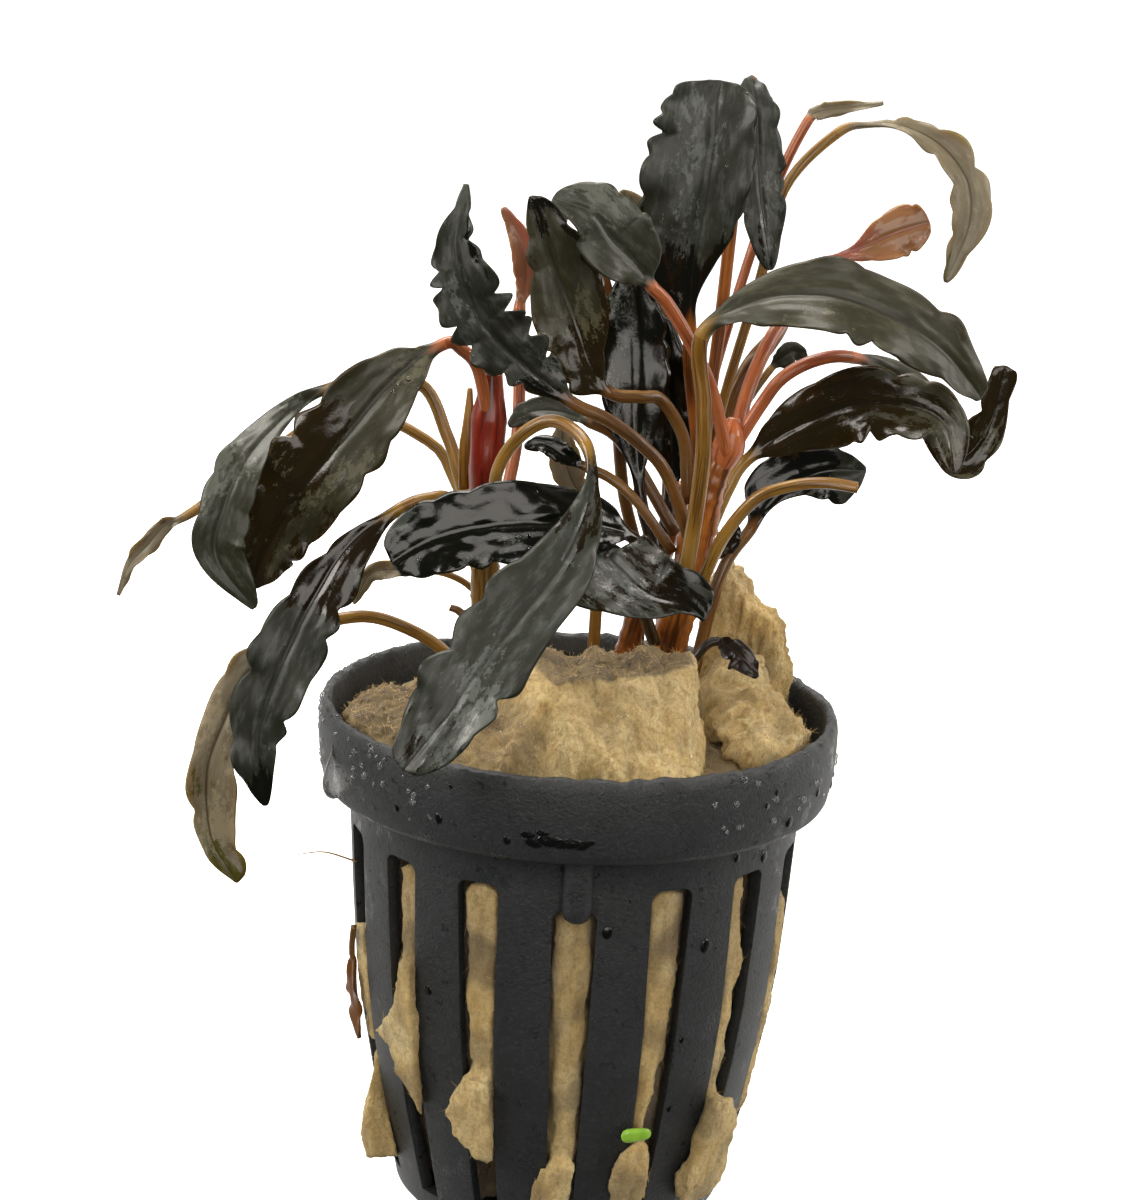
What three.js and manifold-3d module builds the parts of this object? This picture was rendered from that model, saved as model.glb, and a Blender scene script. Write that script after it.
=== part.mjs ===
// Potted bucephalandra: a water plant rooted in wet rock wool in a slotted net pot.
// Millimetres. +Z is up, -Y is the front, and the origin is the middle of the pot's flat base.

import * as THREE from 'three';
import { mergeVertices } from 'three/addons/utils/BufferGeometryUtils.js';
import Module from 'manifold-3d';

const wasm = await Module();
wasm.setup();

// Pot: a standard 5 cm net pot
const RIM_R = 25;
const POT_H = 50;
const BASE_R = 16;
const WALL = 1.1;
const FLOOR = 1.4;
const COLLAR_Z = 41.6;
const POT_SIDES = 30;
const ROOM_SIDES = 30;
const SLOTS = 15;
// The pot stands turned by this many degrees, seen from above
const SLOT_TURN = 1.5;
const SLOT_TOP_W = 4.1;
const SLOT_LOW_W = 2.4;
const SLOT_TOP_Z = 38.2;
const SLOT_LOW_Z = 2.6;
const FRONT_SLOT_TOP_Z = 36.4;
const SLOT_CORNER = 0.9;
// The bars that cut the slots start inside the wall
const BAR_START = 12;
const BAR_LENGTH = 18;
// Mould nub that hangs from the collar over the front slot
const NUB_W = 2.7;
const NUB_H = 5.6;
const NUB_X = 0.7;
const NUB_Y = -22.55;
const NUB_Z = 38.4;

// Clearance kept between neighbouring pieces
const GAP = 0.3;

// Wool block inside the pot
const PLUG_TOP_Z = 47.4;
const PLUG_SIDES = 16;
// The wool is cut wider than each stem that grows out of it
const STEM_ROOM = GAP * 1.6;

// Leaves: stalk radius, blade thickness and how far each half folds up from the midrib, in degrees
const STALK_R = 0.62;
const BLADE_THICK = 0.7;
const FOLD = 12;
// How the blade widens out of its stalk: above 1 it starts hollow
const TAPER = 1.15;
// Sections along the stalk and along the blade
const LARGE_ROWS = [4, 7];
const SMALL_ROWS = [3, 5];
const LEAF_SIDES = 6;

const group = new THREE.Group();

const colours = {
  pot: { color: 0x2f3234, roughness: 0.38, metalness: 0 },
  wool: { color: 0xb0925c, roughness: 0.95, metalness: 0 },
  dark: { color: 0x23261e, roughness: 0.3, metalness: 0 },
  grey: { color: 0x454a42, roughness: 0.4, metalness: 0 },
  olive: { color: 0x4a4426, roughness: 0.35, metalness: 0 },
  pale: { color: 0x8a7d5e, roughness: 0.45, metalness: 0 },
  pink: { color: 0xb0705a, roughness: 0.45, metalness: 0 },
  red: { color: 0x9a3a26, roughness: 0.4, metalness: 0 },
  ochre: { color: 0xa87a3a, roughness: 0.45, metalness: 0 },
  brown: { color: 0x5a3418, roughness: 0.5, metalness: 0 },
  green: { color: 0x84b53a, roughness: 0.4, metalness: 0 },
};

// A closed mesh as a solid for joining and cutting
function solid(geometry) {
  const g = geometry.clone();
  g.deleteAttribute('normal');
  g.deleteAttribute('uv');
  const merged = mergeVertices(g, 1e-4);
  const mesh = new wasm.Mesh({
    numProp: 3,
    vertProperties: new Float32Array(merged.attributes.position.array),
    triVerts: new Uint32Array(merged.index.array),
  });
  return new wasm.Manifold(mesh);
}

// A solid back as a three.js geometry
function geometryOf(body) {
  const mesh = body.getMesh();
  const g = new THREE.BufferGeometry();
  g.setAttribute('position', new THREE.BufferAttribute(new Float32Array(mesh.vertProperties), 3));
  g.setIndex(new THREE.BufferAttribute(new Uint32Array(mesh.triVerts), 1));
  g.computeVertexNormals();
  return g;
}

function add(name, geometry, look) {
  const mesh = new THREE.Mesh(geometry, new THREE.MeshStandardMaterial(colours[look]));
  mesh.name = name;
  group.add(mesh);
}

const mix = (a, b, t) => a + (b - a) * t;
const smooth = (t) => THREE.MathUtils.smoothstep(t, 0, 1);
const vec = (p) => new THREE.Vector3(...p);
const pair = (v) => (Array.isArray(v) ? v : [v, v]);

// A list of vectors read at a fraction from 0 to 1
function readAt(list, t) {
  const x = t * (list.length - 1);
  const i = Math.min(Math.floor(x), list.length - 2);
  return list.length === 1 ? vec(list[0]) : vec(list[i]).lerp(vec(list[i + 1]), x - i);
}

// The largest of the parts that a cut leaves
const largest = (body) => body.decompose().sort((a, b) => b.volume() - a.volume())[0];

// A closed cylinder bent along a curve. The section function gives, for a row and a point of the
// unit circle, how far that point lies across the face and out of it.
function bend(curve, sides, rows, rowAt, faceAt, section) {
  const g = new THREE.CylinderGeometry(1, 1, 1, sides, rows, false, Math.PI / 2);
  const p = g.attributes.position;
  for (let i = 0; i < p.count; i += 1) {
    const row = Math.round((p.getY(i) + 0.5) * rows);
    const t = rowAt(row);
    const along = curve.getTangent(t);
    const face = faceAt(t);
    face.addScaledVector(along, -face.dot(along)).normalize();
    const across = along.clone().cross(face);
    const [a, n] = section(t, p.getX(i), p.getZ(i));
    p.setXYZ(i, ...curve.getPoint(t).addScaledVector(across, a).addScaledVector(face, n));
  }
  g.computeVertexNormals();
  return g;
}

// A stem: round, tapering through the radii given
function stemGeometry(points, radii, sides = 8, grow = 0) {
  const curve = new THREE.CatmullRomCurve3(points.map(vec), false, 'catmullrom', 0.5);
  const rows = (points.length - 1) * 2;
  const radiusAt = (t) => {
    const x = t * (radii.length - 1);
    const i = Math.min(Math.floor(x), radii.length - 2);
    return mix(radii[i], radii[i + 1], x - i) + grow;
  };
  const face = () => new THREE.Vector3(0.2, -1, 0.1);
  const section = (t, x, z) => [x * radiusAt(t), z * radiusAt(t)];
  return bend(curve, sides, rows, (row) => row / rows, face, section);
}

// A leaf: a round stalk that flattens into a blade folded along its midrib, with a waved margin.
// half is the width left and right of the midrib, seen on the face with the tip up. peak and full may
// also be given as a pair, left and right.
function leafGeometry(spec) {
  const { stalk, blade, half, face, radius = STALK_R } = spec;
  const { peak = 0.5, full = 0.75, fold = FOLD, wave = 0.35, waves = 3 } = spec;
  const points = [...stalk, ...blade].map(vec);
  const curve = new THREE.CatmullRomCurve3(points, false, 'catmullrom', 0.5);
  const join = (stalk.length - 1) / (points.length - 1);
  const [stalkRows, bladeRows] = spec.small ? SMALL_ROWS : LARGE_ROWS;
  const rows = stalkRows + bladeRows;
  const rowAt = (row) =>
    row <= stalkRows ? (join * row) / stalkRows : mix(join, 1, (row - stalkRows) / bladeRows);
  const bladeAt = (t) => Math.max(0, (t - join) / (1 - join));
  const skew = pair(peak).map((p) => Math.log(0.5) / Math.log(p));
  const rise = Math.tan(THREE.MathUtils.degToRad(fold));
  return bend(curve, LEAF_SIDES, rows, rowAt, (t) => readAt(face, bladeAt(t)), (t, x, z) => {
    const b = bladeAt(t);
    const flat = smooth(b / 0.15);
    const side = x < 0 ? 0 : 1;
    const blunt = mix(TAPER, pair(full)[side], smooth(b / 0.55));
    const width = half[side] * Math.sin(Math.PI * b ** skew[side]) ** blunt;
    const reach = mix(radius, radius * 0.4 + width, flat);
    // The section narrows from round to lens-shaped, so the blade thins towards its margins
    const across = Math.sign(x) * Math.abs(x) ** mix(1, 2.2, flat) * reach;
    const ripple = wave * flat * x * x * Math.sin(b * waves * Math.PI * 2 + Math.sign(x));
    const lift = z * mix(radius, BLADE_THICK / 2, flat) + flat * Math.abs(across) * rise + ripple;
    return [across, lift];
  });
}

// A soft torn lump: a sphere squared off, stretched and roughened by slow waves
function lumpGeometry(spec) {
  const { at = [0, 0, 0], size, turn = [0, 0, 0], detail = [10, 6] } = spec;
  const { square = 0.6, rough = 0.4, seed = 0 } = spec;
  const g = new THREE.SphereGeometry(1, ...detail);
  const p = g.attributes.position;
  // Coordinates that should be zero stay zero, so that the sphere's seam closes
  const pull = (c) => (Math.abs(c) < 1e-9 ? 0 : Math.sign(c) * Math.abs(c) ** square);
  for (let i = 0; i < p.count; i += 1) {
    const q = new THREE.Vector3(pull(p.getX(i)), pull(p.getY(i)), pull(p.getZ(i)));
    q.multiply(vec(size));
    q.x += rough * Math.sin(q.y * 0.9 + q.z * 0.7 + seed);
    q.y += rough * Math.sin(q.x * 0.8 - q.z * 0.6 + seed * 2);
    q.z += rough * Math.sin(q.x * 0.6 + q.y * 0.7 + seed * 3);
    p.setXYZ(i, q.x, q.y, q.z);
  }
  g.rotateX(turn[0]);
  g.rotateY(turn[1]);
  g.rotateZ(turn[2]);
  g.translate(...at);
  return g;
}

// A turned shape from [radius, height] pairs
function turned(profile, sides) {
  const g = new THREE.LatheGeometry(profile.map(([r, z]) => new THREE.Vector2(r, z)), sides);
  g.rotateX(Math.PI / 2);
  return g;
}

// Outside of the wall below the collar
const outerWall = [[BASE_R + 0.3, 1], [19, 12], [20.9, 24], [21.8, COLLAR_Z - 1]];

// The turned wall of the pot. grow thickens it on every side, for clearance.
function potWall(sides, grow = 0) {
  const outside = [
    [BASE_R - 0.6, -grow], ...outerWall,
    [24.6, COLLAR_Z + 0.8], [RIM_R + 0.1, 46], [RIM_R, POT_H - 0.6], [RIM_R - 0.4, POT_H + grow],
  ].map(([r, z]) => [r + grow, z]);
  const inside = [
    [RIM_R - 1.1, POT_H + grow], [RIM_R - 1.5, POT_H - 0.6], [23, 43.2], [20.7, COLLAR_Z - 1.4],
    [20.9 - WALL, 24], [19 - WALL, 12], [BASE_R - 1.2, FLOOR + grow],
  ].map(([r, z]) => [r - grow, z]);
  return solid(turned([[0, -grow], ...outside, ...inside, [0, FLOOR + grow]], sides));
}

const slotAngle = (i) => (i * Math.PI * 2) / SLOTS + THREE.MathUtils.degToRad(SLOT_TURN);
const slotTop = (i) => (i === 0 ? FRONT_SLOT_TOP_Z : SLOT_TOP_Z);

// A bar that points out from the axis at a slot. Its outline is [sideways, height], seen from outside.
function bar(number, outline) {
  const shape = new THREE.Shape(outline.map(([x, z]) => new THREE.Vector2(x, z)));
  const g = new THREE.ExtrudeGeometry(shape, { depth: BAR_LENGTH, bevelEnabled: false });
  g.rotateX(Math.PI / 2);
  g.translate(0, -BAR_START, 0);
  g.rotateZ(slotAngle(number));
  return solid(g);
}

// The bar that cuts one slot, with a rounded top. shrink narrows it.
function slotBar(number, shrink = 0) {
  const w = SLOT_TOP_W / 2 - shrink;
  const v = SLOT_LOW_W / 2 - shrink;
  const low = SLOT_LOW_Z + shrink;
  const high = slotTop(number) - shrink;
  return bar(number, [
    [-v, low], [v, low], [w, high - 1], [w - SLOT_CORNER, high], [SLOT_CORNER - w, high], [-w, high - 1],
  ]);
}

// The pot: its wall with every slot cut through, and the nub
function potBody(sides, grow = 0) {
  let body = potWall(sides, grow);
  for (let i = 0; i < SLOTS; i += 1) {
    body = body.subtract(slotBar(i, grow));
  }
  const nub = new THREE.CylinderGeometry(NUB_W / 2 + grow, NUB_W / 2 + grow, NUB_H, 8);
  nub.rotateX(Math.PI / 2);
  nub.scale(1, 0.7, 1);
  nub.translate(NUB_X, NUB_Y, NUB_Z);
  return body.add(solid(nub));
}

add('pot', geometryOf(potBody(POT_SIDES)), 'pot');
// The pot with clearance round it, for cutting the wool back
const potRoom = potBody(ROOM_SIDES, GAP);

// Stems that are rooted in the wool
const stems = {
  stem_left: {
    points: [[-9.4, 3.5, 45], [-9.6, 3.2, 52], [-9.7, 3, 60], [-10, 2.8, 67.5]],
    radii: [1.2, 1.3, 1.35, 1.2],
    look: 'ochre',
  },
  stem_main: {
    points: [[6.5, 7.5, 44], [8.2, 5.5, 53], [9.9, 2.6, 62], [11, 1.6, 69], [12.6, 1.4, 74.4]],
    radii: [1.6, 1.8, 1.9, 1.5, 1.1],
    look: 'ochre',
  },
  stem_back: {
    points: [[3.4, 10.6, 44], [5, 10.4, 54], [7.6, 10, 63], [9.4, 10, 69.6]],
    radii: [1.2, 1.2, 1.1, 0.9],
    look: 'ochre',
  },
};

// Wool block: follows the inside of the pot, bulges through the slots and is open at its top
const plugProfile = [
  [0, FLOOR + 0.5], [14, FLOOR + 0.5], [17.4, 12], [19.3, 24], [20.2, 39.8],
  [22.6, PLUG_TOP_Z - 0.8], [21.4, PLUG_TOP_Z], [0, PLUG_TOP_Z],
];
let plug = solid(turned(plugProfile, PLUG_SIDES));

// Everything within the outside of the wall, or this far beyond it
const within = (out) =>
  solid(turned([[0, 1], ...outerWall.map(([r, z]) => [r + out, z]), [0, COLLAR_Z - 1]], ROOM_SIDES));

// Wool in the slots, numbered from the front. inside: the part that fills the slot, flush with the wall
// or standing out by out. flap: a part that has come out through the slot and lies on the wall.
const slotWool = [
  { slot: -3, inside: [[-1.4, 16.4], [1.5, 16.4], [1.8, 28.6], [-1.8, 28]], out: 0.3 },
  {
    slot: -2,
    inside: [[-0.5, 13.2], [1.6, 12.6], [2.2, 24], [2, 37.6], [-0.9, 37.2], [-0.9, 28], [-1.9, 26.6],
      [-1.6, 17]],
    flap: [[0.2, 28], [-0.5, 24], [-1.8, 21.7], [-5, 19], [-1.9, 18], [-1, 16], [0.9, 13.6],
      [2, 12.4], [2.3, 24], [2.1, 28.4]],
    reach: 1.2,
  },
  {
    slot: -1,
    inside: [[-0.7, 10.8], [1.6, 9.4], [1.8, 37.8], [-1.8, 37.8]],
    flap: [[-1.2, 18.6], [-1.7, 17.4], [-2.6, 15.5], [-3.1, 13.8], [-2.6, 12], [-0.7, 10.5], [1.1, 9],
      [1.6, 10], [1.6, 18.4]],
    reach: 1.6,
  },
  {
    slot: 0,
    inside: [[-1.4, 6], [1.3, 6], [1.7, 36.4], [-1.8, 36.4]],
    flap: [[-1.3, 10.2], [-2.2, 9.6], [-2.8, 6.6], [-3, 5], [0.8, 5.2], [1.2, 8], [1.2, 10.2]],
    reach: 1,
  },
  {
    slot: 1,
    inside: [[-1.4, 6], [0.3, 6], [0.3, 16.6], [1.2, 21], [1.6, 28], [1.7, 37.8], [-1.8, 37.8]],
    flap: [[-1.5, 12.4], [-2.4, 11.2], [-3.3, 10], [-3.3, 7.2], [-2.5, 5.2], [0.3, 4.8], [0.8, 6.2],
      [0.5, 10.2], [0, 12.2]],
    reach: 1.3,
  },
  {
    slot: 2,
    inside: [[-1.3, 6], [1.3, 6], [1.4, 18], [0.7, 24], [0.7, 26.6], [1.7, 27.2], [1.6, 29.6],
      [0.7, 31], [0.4, 37.8], [-1.8, 37.8]],
    flap: [[-1.8, 15.6], [-2.5, 12.4], [-2.9, 9.6], [-3.4, 7], [-3, 4.6], [-1.8, 3.4], [2.2, 4.2], [3, 6.4],
      [3, 9.6], [2.2, 12.6], [1, 15]],
    reach: 2,
  },
  { slot: 3, inside: [[-1.3, 10], [1.3, 10], [1.6, 24], [1.6, 33], [-1.6, 33]], out: 0.3 },
  { slot: 4, inside: [[-1.3, 8], [1.3, 8], [1.6, 36], [-1.6, 36]] },
  { slot: 5, inside: [[-1.3, 6], [1.3, 8], [1.2, 30], [-1.7, 33]], out: 0.3 },
  { slot: 6, inside: [[-1.2, 9], [1.2, 7], [1.7, 35], [-1.4, 36]] },
  { slot: 7, inside: [[-1.2, 5], [1.2, 6], [1.4, 28], [-1.3, 26]], out: 0.5 },
  { slot: -4, inside: [[-1.2, 12], [1.2, 10], [1.7, 36], [-1.7, 35]] },
  { slot: -5, inside: [[-1.2, 6], [1.2, 5], [1.5, 27], [-1.6, 29]], out: 0.5 },
  { slot: -6, inside: [[-1.2, 8], [1.2, 9], [1.7, 34], [-1.6, 36]] },
  { slot: -7, inside: [[-1.3, 7], [1.2, 7], [1.5, 32], [-1.7, 31]], out: 0.2 },
];
const blockShape = new THREE.CylinderGeometry(BASE_R, BASE_R, POT_H * 3, PLUG_SIDES);
const insideBlock = solid(blockShape.rotateX(Math.PI / 2));
slotWool.forEach(({ slot, inside, flap, out = -GAP, reach }) => {
  plug = plug.add(bar(slot, inside).intersect(slotBar(slot, GAP)).intersect(within(out)));
  if (flap) {
    plug = plug.add(bar(slot, flap).intersect(within(reach)).subtract(potRoom).subtract(insideBlock));
  }
});
Object.values(stems).forEach(({ points, radii }) => {
  plug = plug.subtract(solid(stemGeometry(points, radii, 6, STEM_ROOM)));
});

// Dark empty places in the slots: above the wool, below it and beside it
const hollows = [
  { slot: -3, outline: [[-2, 28.4], [2, 29], [2, 39], [-2, 39]] },
  { slot: -2, outline: [[-2.4, 28], [-1, 28], [-1, 37.6], [2.4, 38], [2.4, 40], [-2.4, 40]] },
  { slot: -2, outline: [[-2, 1.5], [2, 1.5], [2.4, 12.2], [-0.6, 12.8]] },
  { slot: -1, outline: [[-2, 1.5], [2, 1.5], [2, 9], [-1, 10.4], [-2, 12]] },
  { slot: 2, outline: [[0.8, 31], [2.4, 29.8], [2.4, 39], [0.6, 39]] },
  { slot: 2, outline: [[1, 19], [2.2, 18], [2.4, 26.6], [0.9, 26.4], [0.9, 24]] },
];
hollows.forEach(({ slot, outline }) => {
  plug = plug.subtract(bar(slot, outline));
});
plug = largest(plug);
add('wool_plug', geometryOf(plug), 'wool');

// A cut block and torn lumps of wool that lie on the plug and rise above the rim. Each is cut back to
// clear the plug, the pot and its neighbours.
const hull = (corners) => wasm.Manifold.hull(corners);
const centreCorners = [
  [-6.4, -6.6, 56.4], [9, -5.6, 57.2], [10.6, -9.4, 56.6], [9.2, -11.6, 57], [5.4, -14.4, 57],
  [-2.4, -17, 56.6],
  [-6.6, -14, 52.6], [-8.4, -8, 52], [-9, -7, 46], [-8.6, -18, 46], [-7, -20.6, 48.6], [5.4, -22.6, 48.6],
  [11.4, -19.4, 48.8], [11.8, -10, 47], [11.4, -4.6, 47],
];
const frontCorners = [
  [-12.8, -12.2, 46], [-12.4, -12, 50.6], [-7.4, -12.6, 52], [-3, -17.6, 52.2], [-4, -21.8, 48.4],
  [-9, -19.4, 48.2], [-12.6, -17, 47.6], [2, -21.6, 46],
];
const lumps = {
  wool_centre: [hull(centreCorners), hull(frontCorners)],
  wool_left: [
    { at: [-15.8, -5, 48.2], size: [6.3, 9, 2.6], turn: [0, 0.05, -0.25], square: 0.75, rough: 0.5 },
  ],
  wool_right: [
    { at: [17.4, -4.5, 48.8], size: [4.8, 8.6, 3], turn: [0.1, 0.25, 0.3], square: 0.7, rough: 0.6 },
    { at: [15.6, 4.5, 50.4], size: [3.2, 3.6, 4], turn: [0.2, 0, 0], square: 0.8, rough: 0.4 },
  ],
};
const above = plug.translate([0, 0, GAP]);
const placed = [];
// Small moves that leave a gap beside a neighbour when it is cut away
const around = [[0, 0, 0], [GAP, 0, 0], [-GAP, 0, 0], [0, GAP, 0], [0, -GAP, 0], [0, 0, GAP]];
Object.entries(lumps).forEach(([name, parts]) => {
  const pieces = parts.map((part, i) =>
    part.size ? solid(lumpGeometry({ ...part, seed: placed.length * 2 + i + 1 })) : part);
  let body = pieces.reduce((a, b) => a.add(b));
  body = body.subtract(above).subtract(plug).subtract(potRoom);
  placed.forEach((other) => {
    around.forEach((move) => {
      body = body.subtract(other.translate(move));
    });
  });
  const lump = largest(body);
  placed.push(lump);
  add(name, geometryOf(lump), 'wool');
});

// The tall flap: a torn three-cornered slab that stands at the right back
const flapOutline = [
  [-3.4, -6.5], [-3, 0.6], [-2, 5.4], [-0.7, 8.4], [0.9, 7.2], [3, 4.4], [6.2, 2], [7.4, -3], [7.2, -6],
];
const flapShape = new THREE.Shape(flapOutline.map(([x, z]) => new THREE.Vector2(x, z)));
const flapGeometry = new THREE.ExtrudeGeometry(flapShape, {
  depth: 2.4, bevelThickness: 0.7, bevelSize: 0.6, bevelOffset: -0.6, bevelSegments: 1,
});
flapGeometry.rotateX(Math.PI / 2);
flapGeometry.rotateZ(-0.55);
flapGeometry.translate(15.2, 13.2, 53.6);
let flap = solid(flapGeometry).subtract(above).subtract(plug).subtract(potRoom);
placed.forEach((other) => {
  around.forEach((move) => {
    flap = flap.subtract(other.translate(move));
  });
});
add('wool_flap', geometryOf(largest(flap)), 'wool');

Object.entries(stems).forEach(([name, { points, radii, look }]) => {
  add(name, stemGeometry(points, radii), look);
});

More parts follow.
